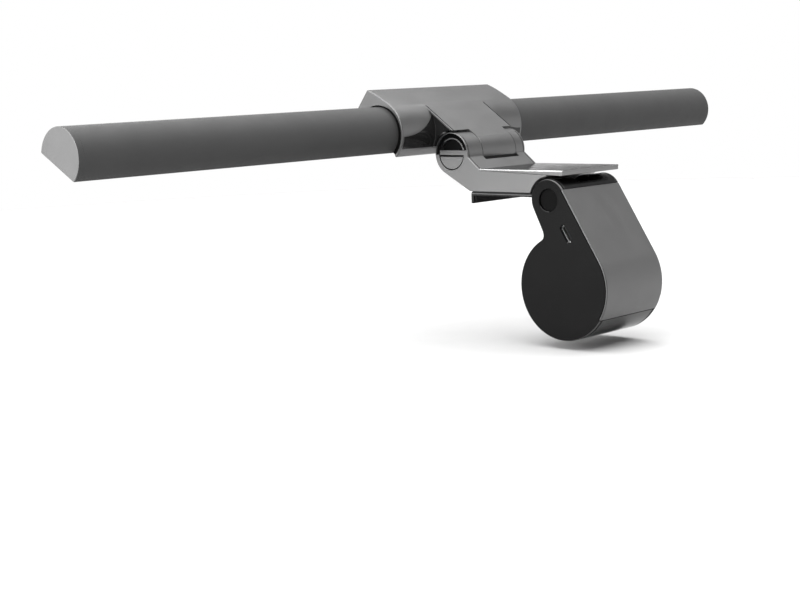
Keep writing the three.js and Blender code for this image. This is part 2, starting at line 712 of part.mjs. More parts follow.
// A curved slab in the drum's front, between two radii.
function drumSector(inner, outer, turn, half) {
  const outside = arc(DRUM, outer, 180 - turn, 180 + turn, 6);
  const inside = arc(DRUM, inner, 180 + turn, 180 - turn, 6);
  return prism([...outside, ...inside], -half, half);
}

function weightHousing() {
  const body = prism(weightOutline(0), -WEIGHT_CORE, WEIGHT_CORE);
  const slotHalf = LUG_HALF + 0.4;
  const sweep = arc(PIVOT, 14, LUG_NECK[0] - SWING[1], LUG_NECK[1] - SWING[0], 14);
  const lugSlot = join(
    disc(PIVOT, LUG_RADIUS + 0.4, -slotHalf, slotHalf, 32),
    prism([[PIVOT.y, PIVOT.z], ...sweep], -slotHalf, slotHalf),
  );
  return cut(
    body,
    coverRoom(),
    lugSlot,
    disc(DRUM, DRUM_RADIUS - 6.8, -WEIGHT_CORE - 1, WEIGHT_CORE - 3.3, 48),
    prism(turnedRectangle({ y: 36.6, z: -14.8 }, 12.5, 10.5, BACK_LINE), 2, WEIGHT_CORE + 1),
    disc(PIVOT, 3.9, -30, 30),
    rod(1.5, [4.5, 34, -10.8], [4.5, 30.4, -5], 10),
    drumSector(DRUM_RADIUS - 1.3, DRUM_RADIUS + 1, PAD_TURN + 0.7, 15),
  );
}

function sidePlate(side) {
  const cuts = [coverRoom(), disc(PIVOT, 5.1, WEIGHT_CORE, WEIGHT_HALF + 1, 32)];
  const port = slotOutline(USB, USB_LENGTH + 0.6, USB_HEIGHT + 0.6, BACK_LINE);
  if (side > 0) cuts.push(prism(port, 18, 24));
  const plate = cut(prism(weightOutline(0), WEIGHT_HALF - SIDE_PLATE, WEIGHT_HALF), ...cuts);
  return side > 0 ? plate : plate.mirror([1, 0, 0]);
}

function usbSocket() {
  const shell = prism(slotOutline(USB, USB_LENGTH, USB_HEIGHT, BACK_LINE), 12.5, 21);
  return cut(shell, prism(slotOutline(USB, USB_LENGTH - 0.6, USB_HEIGHT - 0.6, BACK_LINE), 13.2, 22));
}

function usbBoard() {
  const [y, z] = shift(USB, along(BACK_TURN, -2.5));
  return prism(turnedRectangle({ y, z }, 9, 1, BACK_LINE), 3, 17);
}

const backCover = () => prism(coverOutline(0, COVER_THICKNESS, 0), -WEIGHT_HALF, WEIGHT_HALF);
const weightBlock = () => disc(DRUM, DRUM_RADIUS - 7.1, -WEIGHT_CORE + GAP, WEIGHT_CORE - 3.6, 48);
const usbTongue = () => prism(turnedRectangle(USB, 6.6, 0.7, BACK_LINE), 13.5, 19.5);
const WEIGHT_LEAD = [
  [9, 35.4, -13.4],
  [6, 34.4, -11.6],
  [4.5, 33.6, -10.2],
  [4.5, 31.6, -7],
];

piece("weight_housing", weightHousing(), FINISH.blackGloss);
piece("back_cover", backCover(), FINISH.coverPaint);
piece("side_plate_left", sidePlate(1), FINISH.blackGloss);
piece("side_plate_right", sidePlate(-1), FINISH.blackGloss);
piece("weight_block", weightBlock(), FINISH.steel);
piece("contact_pad", drumSector(DRUM_RADIUS - 1, DRUM_RADIUS, PAD_TURN, 14.7), FINISH.rubber);
piece("usb_socket", usbSocket(), FINISH.steel);
piece("usb_tongue", usbTongue(), FINISH.blackMatt);
piece("usb_board", usbBoard(), FINISH.board);
piece("weight_lead", lead(LEAD_RADIUS, WEIGHT_LEAD), FINISH.rubber);
[["left", 1], ["right", -1]].forEach(([side, sign]) => {
  const cap = disc(PIVOT, 4.8, WEIGHT_CORE + GAP, WEIGHT_HALF - 0.8, 32);
  const pivotBush = ring(PIVOT, PIVOT_PIN_RADIUS + STUD_GAP, 3.6, LUG_HALF + 0.7, WEIGHT_CORE - GAP);
  piece("pivot_cap_" + side, sign > 0 ? cap : cap.mirror([1, 0, 0]), FINISH.blackMatt);
  piece("pivot_bush_" + side, sign > 0 ? pivotBush : pivotBush.mirror([1, 0, 0]), FINISH.brass);
});

export default root;
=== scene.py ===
"""Monitor light bar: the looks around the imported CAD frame.

Outlines are side views in millimetres, as (y, z) pairs that run anticlockwise seen from +X, and every mesh
is scaled to metres when it is finished. Angles are in degrees in that side view, from +Y towards +Z.
"""

import json
import math

import bmesh
import bpy
from mathutils import Matrix, Vector

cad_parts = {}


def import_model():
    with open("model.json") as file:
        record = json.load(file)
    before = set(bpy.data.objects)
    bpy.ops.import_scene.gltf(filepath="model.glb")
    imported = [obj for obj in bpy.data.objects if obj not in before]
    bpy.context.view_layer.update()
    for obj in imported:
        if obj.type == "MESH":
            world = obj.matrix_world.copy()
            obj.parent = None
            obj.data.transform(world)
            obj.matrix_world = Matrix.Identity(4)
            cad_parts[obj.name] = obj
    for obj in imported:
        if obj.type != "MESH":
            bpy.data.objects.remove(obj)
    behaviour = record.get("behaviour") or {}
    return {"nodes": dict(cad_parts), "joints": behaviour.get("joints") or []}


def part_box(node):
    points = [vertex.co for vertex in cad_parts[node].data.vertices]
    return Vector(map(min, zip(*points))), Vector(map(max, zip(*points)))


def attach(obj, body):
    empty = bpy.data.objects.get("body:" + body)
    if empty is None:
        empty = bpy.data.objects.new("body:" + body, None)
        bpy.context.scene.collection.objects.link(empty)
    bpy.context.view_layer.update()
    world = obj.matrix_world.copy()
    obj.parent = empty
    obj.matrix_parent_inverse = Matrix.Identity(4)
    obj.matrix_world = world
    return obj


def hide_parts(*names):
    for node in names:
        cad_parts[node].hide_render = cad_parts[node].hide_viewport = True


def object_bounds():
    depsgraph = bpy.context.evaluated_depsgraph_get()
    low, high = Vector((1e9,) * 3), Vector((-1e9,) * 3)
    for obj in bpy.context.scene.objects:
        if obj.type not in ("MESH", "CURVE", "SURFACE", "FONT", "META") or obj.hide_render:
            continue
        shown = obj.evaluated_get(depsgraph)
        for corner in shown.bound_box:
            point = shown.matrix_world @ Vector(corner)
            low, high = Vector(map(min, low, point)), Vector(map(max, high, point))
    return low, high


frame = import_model()
cad_low, cad_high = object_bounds()
MM = 0.001

# ---------------------------------------------------------------- places, read from the frame


def box(node):
    """A CAD node's lowest and highest corner, in millimetres."""
    low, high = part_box(node)
    return low / MM, high / MM


def joint_centre(name):
    """Where a joint's axis, which runs along X, crosses the side view."""
    joint = next(j for j in frame["joints"] if j["name"] == name)
    _, y, z = joint["pos_m"]
    return (y / MM, z / MM)


HINGE = joint_centre("lamp_tilt")
PIVOT = joint_centre("counterweight_swing")

BAR_RADIUS = 12.4
BAR_FLAT = 4.2  # how far the flat light face lies from the bar's axis
BAR_WALL = 1.4
FACE_TURN = 241  # the direction that the light face looks in
WINDOW_HALF = 8.2
housing_high = box("bar_housing")[1]
BAR = (housing_high.y - BAR_RADIUS, housing_high.z - BAR_RADIUS)

SLEEVE_RADIUS = 15.5
SLEEVE_BORE = BAR_RADIUS + 0.3
SLEEVE_HALF = box("lamp_carrier")[1].x

BARREL_RADIUS = 10  # the hinge's ears and knuckle
BUSH_ROOM = 3.9  # radius of the holes that the hinges' bushes sit in
PIN_ROOM = 2.8
KNUCKLE_RIGHT = box("knuckle_bush_right")[0].x
KNUCKLE_LEFT = box("knuckle_bush_left")[1].x
HOOK_HALF = box("hook_body")[1].x

plate_low, plate_high = box("top_plate")
PLATE_FRONT = (plate_low.y, plate_high.z)
PLATE_BACK = (plate_high.y, plate_high.z - 0.1)
PLATE_LIP = 0.5  # the plate's thickness at its front
PLATE_EDGE = 2.5  # and at its back

PIVOT_RADIUS = 9.5
DRUM_RADIUS = 24.2
drum_low, drum_high = box("side_plate_left")
DRUM = (box("back_cover")[1].y - DRUM_RADIUS, drum_low.z + DRUM_RADIUS)
WEIGHT_HALF = drum_high.x
CORE_HALF = box("weight_housing")[1].x

# ---------------------------------------------------------------- side-view outlines
ARC_STEP = 4  # degrees between the points of a round stretch


def along(degrees, length=1.0):
    return (length * math.cos(math.radians(degrees)), length * math.sin(math.radians(degrees)))


def add(a, b):
    return (a[0] + b[0], a[1] + b[1])


def on_circle(centre, radius, degrees):
    return add(centre, along(degrees, radius))


def arc(centre, radius, start, end, step=ARC_STEP):
    count = max(2, math.ceil(abs(end - start) / step))
    return [on_circle(centre, radius, start + (end - start) * i / count) for i in range(count + 1)]


def circle(centre, radius, step=ARC_STEP):
    return arc(centre, radius, 0, 360, step)[:-1]


def rectangle(y0, z0, y1, z1):
    return [(y0, z0), (y1, z0), (y1, z1), (y0, z1)]


def curve(start, control, end, count):
    """A quadratic curve's points."""
    points = []
    for i in range(count + 1):
        t = i / count
        weights = ((1 - t) ** 2, 2 * t * (1 - t), t * t)
        points.append(tuple(sum(w * p[k] for w, p in zip(weights, (start, control, end))) for k in (0, 1)))
    return points


def tangent_turn(first, first_radius, second, second_radius):
    """The direction from both centres to the tangent that touches both circles on their left."""
    dy, dz = second[0] - first[0], second[1] - first[1]
    lean = math.degrees(math.acos((first_radius - second_radius) / math.hypot(dy, dz)))
    return math.degrees(math.atan2(dz, dy)) + lean


def strip(line, half):
    """The outline of a band that follows an open line."""
    left, right = [], []
    for i, point in enumerate(line):
        before, after = line[max(i - 1, 0)], line[min(i + 1, len(line) - 1)]
        turn = math.degrees(math.atan2(after[1] - before[1], after[0] - before[0]))
        left.append(add(point, along(turn + 90, half)))
        right.append(add(point, along(turn - 90, half)))
    return right + left[::-1]


def d_section(radius, flat, corner):
    """The bar's section: a circle cut by the light face, with rounded corners."""
    lean = math.degrees(math.acos((flat - corner) / (radius - corner)))
    left, right = (on_circle(BAR, radius - corner, FACE_TURN + side * lean) for side in (-1, 1))
    back = arc(BAR, radius, FACE_TURN + lean, FACE_TURN + 360 - lean, 3)
    first = arc(right, corner, FACE_TURN, FACE_TURN + lean, 12)[:-1]
    last = arc(left, corner, FACE_TURN - lean, FACE_TURN, 12)[1:]
    return first + back + last


def from_face(across, height):
    """A point given across the light face and out along its normal, from the bar's axis."""
    return add(BAR, add(along(FACE_TURN + 90, across), along(FACE_TURN, height)))


# ---------------------------------------------------------------- solids
TURN_SIDES = 72
ROD_SIDES = 32
SHARP_ANGLE = 34  # edges sharper than this are shaded as edges


def mesh_object(name, points, faces):
    mesh = bpy.data.meshes.new(name)
    mesh.from_pydata([Vector(p) for p in points], [], faces)
    mesh.validate()
    obj = bpy.data.objects.new(name, mesh)
    bpy.context.scene.collection.objects.link(obj)
    return obj


def drop(obj):
    mesh = obj.data
    bpy.data.objects.remove(obj)
    if mesh.users == 0:
        bpy.data.meshes.remove(mesh)


def apply_modifiers(obj):
    depsgraph = bpy.context.evaluated_depsgraph_get()
    made = bpy.data.meshes.new_from_object(obj.evaluated_get(depsgraph))
    obj.modifiers.clear()
    old = obj.data
    obj.data = made
    bpy.data.meshes.remove(old)
    return obj


def rounded(obj, width, segments=3, limit=32):
    """Rounds the edges that are sharper than the limit."""
    bevel = obj.modifiers.new("round", "BEVEL")
    bevel.width = width
    bevel.segments = segments
    bevel.limit_method = "ANGLE"
    bevel.angle_limit = math.radians(limit)
    bevel.use_clamp_overlap = False
    bevel.miter_outer = "MITER_ARC"
    return apply_modifiers(obj)


def prism(outline, x0, x1, edge=0.0, segments=3, limit=32):
    """A side outline stretched from x0 to x1, its edges rounded by that much."""
    count = len(outline)
    points = [(x, y, z) for x in (x0, x1) for y, z in outline]
    sides = [(i, (i + 1) % count, count + (i + 1) % count, count + i) for i in range(count)]
    caps = [tuple(reversed(range(count))), tuple(range(count, 2 * count))]
    obj = mesh_object("solid", points, sides + caps)
    return rounded(obj, edge, segments, limit) if edge else obj


def turned(profile, centre):
    """A closed profile of (x, radius) points, turned round a line along X. It runs so that +X is to the right
    and the axis is below, clockwise."""
    points = []
    rings = []
    for x, radius in profile:
        if radius < 1e-9:
            rings.append([len(points)] * TURN_SIDES)
            points.append((x, *centre))
            continue
        rings.append(list(range(len(points), len(points) + TURN_SIDES)))
        points.extend((x, *on_circle(centre, radius, 360 * i / TURN_SIDES)) for i in range(TURN_SIDES))
    faces = []
    for a, b in zip(rings, rings[1:] + rings[:1]):
        for i in range(TURN_SIDES):
            j = (i + 1) % TURN_SIDES
            corners = dict.fromkeys((a[i], a[j], b[j], b[i]))
            if len(corners) > 2:
                faces.append(tuple(corners))
    return mesh_object("solid", points, faces)


def upright_rod(radius, x, y, bottom, top):
    count = ROD_SIDES
    ring = [(radius * c, radius * s) for c, s in (along(360 * i / count) for i in range(count))]
    points = [(x + a, y + b, z) for z in (bottom, top) for a, b in ring]
    faces = [(i, (i + 1) % count, count + (i + 1) % count, count + i) for i in range(count)]
    faces += [tuple(reversed(range(count))), tuple(range(count, 2 * count))]
    return mesh_object("solid", points, faces)


def combine(base, operation, others):
    """Joins the other solids to the first, or cuts them from it, and removes them."""
    for other in others:
        modifier = base.modifiers.new("combine", "BOOLEAN")
        modifier.operation = operation
        modifier.solver = "EXACT"
        modifier.object = other
        apply_modifiers(base)
        drop(other)
    return base


def join(base, *others):
    return combine(base, "UNION", others)


def cut(base, *others):
    return combine(base, "DIFFERENCE", others)


def mirrored(obj):
    obj.data.transform(Matrix.Scale(-1, 4, (1, 0, 0)))
    obj.data.flip_normals()
    return obj


def finished(name, obj, materials, body, replaces=(), accent=None):
    """Scales a solid to metres, shades it, paints it and puts it on its CAD body.
    accent picks a face's material, as its place in the list, from its centre and normal in millimetres."""
    obj.name = name
    obj.data.name = name
    obj.data.materials.clear()
    for material in materials:
        obj.data.materials.append(material)
    mesh = bmesh.new()
    mesh.from_mesh(obj.data)
    bmesh.ops.remove_doubles(mesh, verts=mesh.verts, dist=1e-4)
    bmesh.ops.dissolve_degenerate(mesh, edges=mesh.edges, dist=1e-5)
    bmesh.ops.recalc_face_normals(mesh, faces=mesh.faces)
    for face in mesh.faces:
        face.smooth = True
        face.material_index = int(accent(face.calc_center_median(), face.normal)) if accent else 0
    mesh.to_mesh(obj.data)
    mesh.free()
    obj.data.transform(Matrix.Scale(MM, 4))
    obj.data.set_sharp_from_angle(angle=math.radians(SHARP_ANGLE))
    weighted = obj.modifiers.new("even shading", "WEIGHTED_NORMAL")
    weighted.keep_sharp = True
    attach(obj, body)
    if replaces:
        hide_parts(*replaces)
    return obj


# ---------------------------------------------------------------- materials
def nodes_of(material):
    material.use_nodes = True
    tree = material.node_tree
    return tree, tree.nodes["Principled BSDF"]


def noise(tree, scale, detail=3.0, stretch=(1, 1, 1)):
    """Noise over the object's own metres; stretch above 1 squeezes the pattern along an axis."""
    place = tree.nodes.new("ShaderNodeTexCoord")
    mapping = tree.nodes.new("ShaderNodeMapping")
    mapping.inputs["Scale"].default_value = stretch
    tree.links.new(place.outputs["Object"], mapping.inputs["Vector"])
    texture = tree.nodes.new("ShaderNodeTexNoise")
    texture.inputs["Scale"].default_value = scale
    texture.inputs["Detail"].default_value = detail
    tree.links.new(mapping.outputs["Vector"], texture.inputs["Vector"])
    return texture.outputs["Fac"]


def between(tree, factor, low, high):
    spread = tree.nodes.new("ShaderNodeMapRange")
    spread.inputs["From Min"].default_value = 0.3
    spread.inputs["From Max"].default_value = 0.7
    spread.inputs["To Min"].default_value = low
    spread.inputs["To Max"].default_value = high
    tree.links.new(factor, spread.inputs["Value"])
    return spread.outputs["Result"]


def colour_between(tree, factor, dark, light):
    mix = tree.nodes.new("ShaderNodeMix")
    mix.data_type = "RGBA"
    mix.inputs["A"].default_value = (*dark, 1)
    mix.inputs["B"].default_value = (*light, 1)
    tree.links.new(between(tree, factor, 0, 1), mix.inputs["Factor"])
    return mix.outputs["Result"]


def bumped(tree, shader, factor, strength, distance):
    bump = tree.nodes.new("ShaderNodeBump")
    bump.inputs["Strength"].default_value = strength
    bump.inputs["Distance"].default_value = distance
    tree.links.new(factor, bump.inputs["Height"])
    tree.links.new(bump.outputs["Normal"], shader.inputs["Normal"])


def surface(name, grey, roughness, metallic=0.0, tint=(1, 1, 1), mottle=0.05, wander=0.04, grain=3000,
            bump=0.08, depth=2e-5, coat=0.0, stretch=(1, 1, 1), specular=0.5, glancing=1.0):
    """A finish with a fine grain, slight cloudiness and roughness that wanders.
    glancing below 1 dims what a flat look along the surface mirrors."""
    material = bpy.data.materials.new(name)
    tree, shader = nodes_of(material)
    base = [grey * t for t in tint]
    clouds = noise(tree, 55, 4)
    dark, light = ([c * (1 + side * mottle) for c in base] for side in (-1, 1))
    tree.links.new(colour_between(tree, clouds, dark, light), shader.inputs["Base Color"])
    tree.links.new(between(tree, noise(tree, 140, 5), roughness - wander, roughness + wander),
                   shader.inputs["Roughness"])
    shader.inputs["Metallic"].default_value = metallic
    shader.inputs["Specular IOR Level"].default_value = specular
    shader.inputs["Specular Tint"].default_value = (glancing, glancing, glancing, 1)
    shader.inputs["Coat Weight"].default_value = coat
    shader.inputs["Coat Roughness"].default_value = 0.25
    bumped(tree, shader, noise(tree, grain, 2, stretch), bump, depth)
    return material


def board_surface():
    """Green solder mask with a fine net of tracks."""
    material = surface("circuit_board", 0.1, 0.4, tint=(0.25, 1, 0.45), bump=0.0)
    tree, shader = nodes_of(material)
    place = tree.nodes.new("ShaderNodeTexCoord")
    tracks = tree.nodes.new("ShaderNodeTexBrick")
    tracks.inputs["Scale"].default_value = 260
    tracks.inputs["Mortar Size"].default_value = 0.03
    tracks.inputs["Color1"].default_value = (0.02, 0.12, 0.05, 1)
    tracks.inputs["Color2"].default_value = (0.03, 0.15, 0.06, 1)
    tracks.inputs["Mortar"].default_value = (0.12, 0.3, 0.12, 1)
    tree.links.new(place.outputs["Object"], tracks.inputs["Vector"])
    tree.links.new(tracks.outputs["Color"], shader.inputs["Base Color"])
    return material


def opal_surface():
    material = surface("opal", 0.85, 0.45, mottle=0.01, bump=0.15)
    _, shader = nodes_of(material)
    shader.inputs["Subsurface Weight"].default_value = 0.4
    shader.inputs["Subsurface Scale"].default_value = 0.002
    return material


BAR_PAINT = surface("bar_paint", 0.046, 0.55, mottle=0.04, grain=4000, bump=0.03, specular=0.12)
# Lighter paint for the bar's end faces: partly the cap's own tone, partly painted light from the side lamp.
CAP_TONE_AND_PAINTED_LIGHT = surface("cap_tone_and_painted_light", 0.12, 0.44, metallic=0.2, grain=4000, bump=0.03)
GREY_GLOSS = surface("grey_gloss", 0.117, 0.31, metallic=0.6, mottle=0.03, wander=0.03, bump=0.0, coat=0.3)
BLACK_GLOSS = surface("black_gloss", 0.002, 0.1, mottle=0.2, wander=0.03, bump=0.01, specular=0.14)
SHELL_GLOSS = surface("shell_gloss", 0.004, 0.14, mottle=0.2, wander=0.03, bump=0.01, specular=0.45)
FAIRING_GLOSS = surface("fairing_gloss", 0.01, 0.16, mottle=0.2, wander=0.03, bump=0.01, specular=0.3)
BLACK_MATT = surface("black_matt", 0.01, 0.62, mottle=0.15, grain=4000, bump=0.1, specular=0.3)
# Dead black: the pivot buttons' own colour, and painted shade in gaps, seams and hollows.
BLACK_AND_PAINTED_SHADE = surface("black_and_painted_shade", 0.002, 0.7, mottle=0.15, grain=4000, bump=0.1, specular=0.06)
COVER_PAINT = surface("cover_paint", 0.108, 0.38, metallic=0.5, mottle=0.03, bump=0.02, grain=4000)
PLATE_METAL = surface("plate_metal", 0.14, 0.14, metallic=1.0, mottle=0.04, bump=0.02, stretch=(0.05, 1, 1),
                      glancing=0.4)
BRIGHT_EDGE = surface("bright_edge", 0.62, 0.24, metallic=1.0, mottle=0.02, wander=0.02, bump=0.0)
RIM_METAL = surface("rim_metal", 0.21, 0.42, metallic=1.0, mottle=0.02, wander=0.02, bump=0.0)
EDGE_METAL = surface("edge_metal", 0.105, 0.42, metallic=1.0, mottle=0.02, wander=0.02, bump=0.0)
COVER_EDGE_METAL = surface("cover_edge_metal", 0.085, 0.42, metallic=1.0, mottle=0.02, wander=0.02, bump=0.0)
STEEL = surface("steel", 0.5, 0.3, metallic=1.0, grain=2500, bump=0.12, stretch=(0.1, 1, 1))
PORT_METAL = surface("port_metal", 0.45, 0.5, metallic=1.0, mottle=0.02, wander=0.02, bump=0.0)
IRON = surface("iron", 0.2, 0.5, metallic=0.9, mottle=0.15, grain=1500, bump=0.4)
BRASS = surface("brass", 0.55, 0.32, metallic=1.0, tint=(1.0, 0.75, 0.36), bump=0.1)
RUBBER = surface("rubber", 0.012, 0.8, mottle=0.2, grain=4000, bump=0.3, depth=4e-5, specular=0.3)
WHITE = surface("white_film", 0.8, 0.5, mottle=0.02, bump=0.1)
BOARD = board_surface()
OPAL = opal_surface()

CAD_FINISH = (
    (OPAL, "diffuser"),
    (WHITE, "reflector", "led_strip"),
    (BOARD, "led_board", "driver_board", "touch_board", "usb_board"),
    (BLACK_MATT, "driver_choke", "usb_tongue"),
    (STEEL, "sleeve_screw_left", "sleeve_screw_right", "base_screw_left", "base_screw_right"),
    (STEEL, "hinge_pin", "hinge_nut", "hinge_spring", "pivot_pin"),
    (BRASS, "hinge_washer", "knuckle_bush_left", "knuckle_bush_right", "pivot_bush_left", "pivot_bush_right"),
    (IRON, "weight_block"),
    (RUBBER, "lamp_lead", "hook_lead", "weight_lead"),
)
for material, *nodes in CAD_FINISH:
    for node in nodes:
        carried = frame["nodes"][node]
        carried.data.materials.clear()
        carried.data.materials.append(material)

# ---------------------------------------------------------------- lamp bar
CORNER = 0.7
HOUSING_END = housing_high.x


def housing_section():
    """The tube's section with its window, as one line round the wall."""
    outer = d_section(BAR_RADIUS, BAR_FLAT, CORNER)
    inner_radius, inner_flat = BAR_RADIUS - BAR_WALL, BAR_FLAT - BAR_WALL
    lean = math.degrees(math.acos(inner_flat / inner_radius))
    inner = arc(BAR, inner_radius, FACE_TURN + 360 - lean, FACE_TURN + lean, 3)
    right = [from_face(WINDOW_HALF, inner_flat), from_face(WINDOW_HALF, BAR_FLAT)]
    left = [from_face(-WINDOW_HALF, BAR_FLAT), from_face(-WINDOW_HALF, inner_flat)]
    return outer + left + inner + right


def bar_housing():
    body = prism(housing_section(), -HOUSING_END, HOUSING_END)
    finished("bar_shell", body, [BAR_PAINT], "lamp", ["bar_housing"])


def end_cap(side, node):
    """A cap flush with the tube, its seam too fine to see, on a plug that holds it in the tube."""
    low, high = box(node)
    inside, outside = (high.x, low.x) if side < 0 else (low.x, high.x)
    seam = side * (HOUSING_END + 0.02)
    section = d_section(BAR_RADIUS, BAR_FLAT, CORNER)
    plate = prism(section, *sorted((seam - side, outside)), edge=0.3, limit=50)
    plate = cut(plate, prism(circle(BAR, 2 * BAR_RADIUS), *sorted((seam - 3 * side, seam))))
    plug_section = d_section(BAR_RADIUS - BAR_WALL - 0.3, BAR_FLAT - BAR_WALL - 0.3, CORNER)
    plug = prism(plug_section, *sorted((inside, seam + side)))
    # Faces looking along X get the lighter cap paint, partly painted light from the side lamp; the round rim
    # keeps the bar's paint.
    finished(node.replace("end_cap", "bar_end"), join(plate, plug), [BAR_PAINT, CAP_TONE_AND_PAINTED_LIGHT], "lamp", [node],
             accent=lambda centre, normal: abs(normal.x) > 0.6)


bar_housing()
end_cap(1, "end_cap_left")
end_cap(-1, "end_cap_right")

# ---------------------------------------------------------------- sleeve, arm and knuckle
SLEEVE_FRONT_EDGE = (-6.4, 20.5)  # the sleeve's sharp top edge, from the bar's axis
SLEEVE_NOSE = (-17.8, 5.9)  # the lower end of its flat front face
SLEEVE_FRONT_END = 172  # where its section ends under the front face
SLEEVE_BACK_END = -47  # and under the back
TOP_START = 59  # where the back's circle turns into the curved top
ARM_TURN = tangent_turn(BAR, SLEEVE_RADIUS, HINGE, BARREL_RADIUS)
ARM_LENGTH = math.dist(BAR, HINGE)
ARM_REACH = math.sqrt(ARM_LENGTH ** 2 - (SLEEVE_RADIUS - BARREL_RADIUS) ** 2)  # where it meets the sleeve
ARM_HALF = HOOK_HALF + 0.4
ARM_SEAM = (1.0, 0.35)  # the seam in the arm's top lies between these distances from its sides
ARM_RIM = 0.9  # thickness of the plate where its edge shows
ARM_PLATE = 2.2
EAR_CLEARANCE = BARREL_RADIUS + 1.2
arm_face = on_circle(HINGE, BARREL_RADIUS, ARM_TURN)


def arm_point(distance, depth):
    """A point under the arm's top face; distance 0 is level with the hinge."""
    ny, nz = along(ARM_TURN)
    return (arm_face[0] - distance * nz - depth * ny, arm_face[1] + distance * ny - depth * nz)


def arm_slab(start, end, top, bottom):
    return [arm_point(*corner) for corner in ((start, top), (end, top), (end, bottom), (start, bottom))]


def sleeve_section():
    back = arc(BAR, SLEEVE_RADIUS, SLEEVE_BACK_END, ARM_TURN) + [on_circle(BAR, SLEEVE_RADIUS, TOP_START)]
    top = curve(back[-1], add(BAR, (-1.1, 18.7)), add(BAR, SLEEVE_FRONT_EDGE), 10)
    nose = add(BAR, SLEEVE_NOSE)
    edge = top[-1]
    chin = on_circle(BAR, SLEEVE_RADIUS, SLEEVE_FRONT_END)
    inside = arc(BAR, SLEEVE_BORE, SLEEVE_FRONT_END, SLEEVE_BACK_END)
    return back + top[1:-1] + [edge, nose, chin] + inside


def ear_rooms():
    left = prism(circle(HINGE, EAR_CLEARANCE), KNUCKLE_LEFT, HOOK_HALF + 3)
    right = prism(circle(HINGE, EAR_CLEARANCE), -HOOK_HALF - 3, KNUCKLE_RIGHT)
    return left, right


FAIRING_TOP_X = 21.0  # the fairing's upper edge starts to sweep down here
FAIRING_HIGH = 8.2  # its height over the bar's axis there
FAIRING_LOW = -1.7  # and at the sleeve's ends
FAIRING_SWEEP = 2.5
FAIRING_FOOT = -29  # section angle of the fairing's straight lower edge
FAIRING_DEPTH = 1.5  # how deep the sleeve is cut away for it


def fairing_edge(x):
    """Height of the fairing's upper edge over the bar's axis, at a place along the sleeve."""
    reach = (abs(x) - FAIRING_TOP_X) / (SLEEVE_HALF - FAIRING_TOP_X)
    reach = min(1.0, max(0.0, reach))
    return FAIRING_LOW + (FAIRING_HIGH - FAIRING_LOW) * (1 - reach) ** FAIRING_SWEEP


def fairing_strip(outer, inner, foot, rise, reach):
    """A band round the sleeve's back between the foot and the swept upper edge."""
    count_x, count_turn = 90, 14
    rings = []
    for i in range(count_x + 1):
        x = -reach + 2 * reach * i / count_x
        height = min(fairing_edge(x) + rise, SLEEVE_RADIUS * 0.93)
        top = math.degrees(math.asin(height / SLEEVE_RADIUS))
        turns = [foot + (top - foot) * k / count_turn for k in range(count_turn + 1)]
        outside = [on_circle(BAR, outer, t) for t in turns]
        inside = [on_circle(BAR, inner, t) for t in reversed(turns)]
        rings.append([(x, y, z) for y, z in outside + inside])
    count = len(rings[0])
    points = [p for ring in rings for p in ring]
    faces = [tuple(reversed(range(count))), tuple(range(len(points) - count, len(points)))]
    for i in range(count_x):
        a, b = i * count, (i + 1) * count
        faces += [(a + k, a + (k + 1) % count, b + (k + 1) % count, b + k) for k in range(count)]
    return mesh_object("solid", points, faces)


def arm_plate():
    """The arm's top, tangent to the sleeve, with a thin rim and a seam along each side."""
    rim = prism(arm_slab(-1, ARM_REACH + 5, 0, ARM_RIM), -ARM_HALF, ARM_HALF, edge=0.2)
    rim = cut(rim, prism(arm_slab(ARM_REACH, ARM_REACH + 20, -5, 20), -60, 60))
    plate = prism(arm_slab(-1, ARM_LENGTH, 0.3, ARM_PLATE), -ARM_HALF + 0.9, ARM_HALF - 0.9)
    rib = prism(arm_slab(0, ARM_LENGTH, 0.3, 7), KNUCKLE_RIGHT, KNUCKLE_LEFT)
    seam = arm_slab(-2, ARM_REACH - 1, -1, 0.8)
    seams = [prism(seam, *sorted(side * (ARM_HALF - depth) for depth in ARM_SEAM)) for side in (-1, 1)]
    arm = cut(join(rim, plate), *seams)
    arm = cut(join(arm, rib), *ear_rooms())
    return cut(arm, prism(circle(BAR, SLEEVE_RADIUS - 0.6), -60, 60))


GAP_TURN = -20  # the gap round the bar at the sleeve's ends is widest in this direction
GAP_SHIFT = 1.2
GAP_RADIUS = 13.3
GAP_DEPTH = 1.1
SHADE_RING_END = 98  # where the ring in the gap stops, at the sleeve's top
SHADE_RING_STEP = 3
RIM_WIDTH = 1.2  # how far in the sleeve's ends keep their full thickness
SLEEVE_EDGE = 0.5


def carrier_finish_and_painted_shade(centre, normal):
    """Metal on the rounded edges at the sleeve's ends and along the arm's sides, black painted shade in the
    gaps and seams.
    """
    across = abs(centre.x)
    in_seam = ARM_HALF - ARM_SEAM[0] - 0.01 < across < ARM_HALF - ARM_SEAM[1] + 0.01
    by_bar = math.dist((centre.y, centre.z), BAR) < SLEEVE_RADIUS - 0.9
    if by_bar and SLEEVE_HALF - GAP_DEPTH - 0.01 < across < SLEEVE_HALF - 0.01 or in_seam:
        # painted shade: the end gaps' faces and the arm's seams are black
        return 2
    outer = across > SLEEVE_HALF - SLEEVE_EDGE - 0.01 or ARM_HALF - 0.21 < across < ARM_HALF
    return outer and 0.2 < abs(normal.x) < 0.96


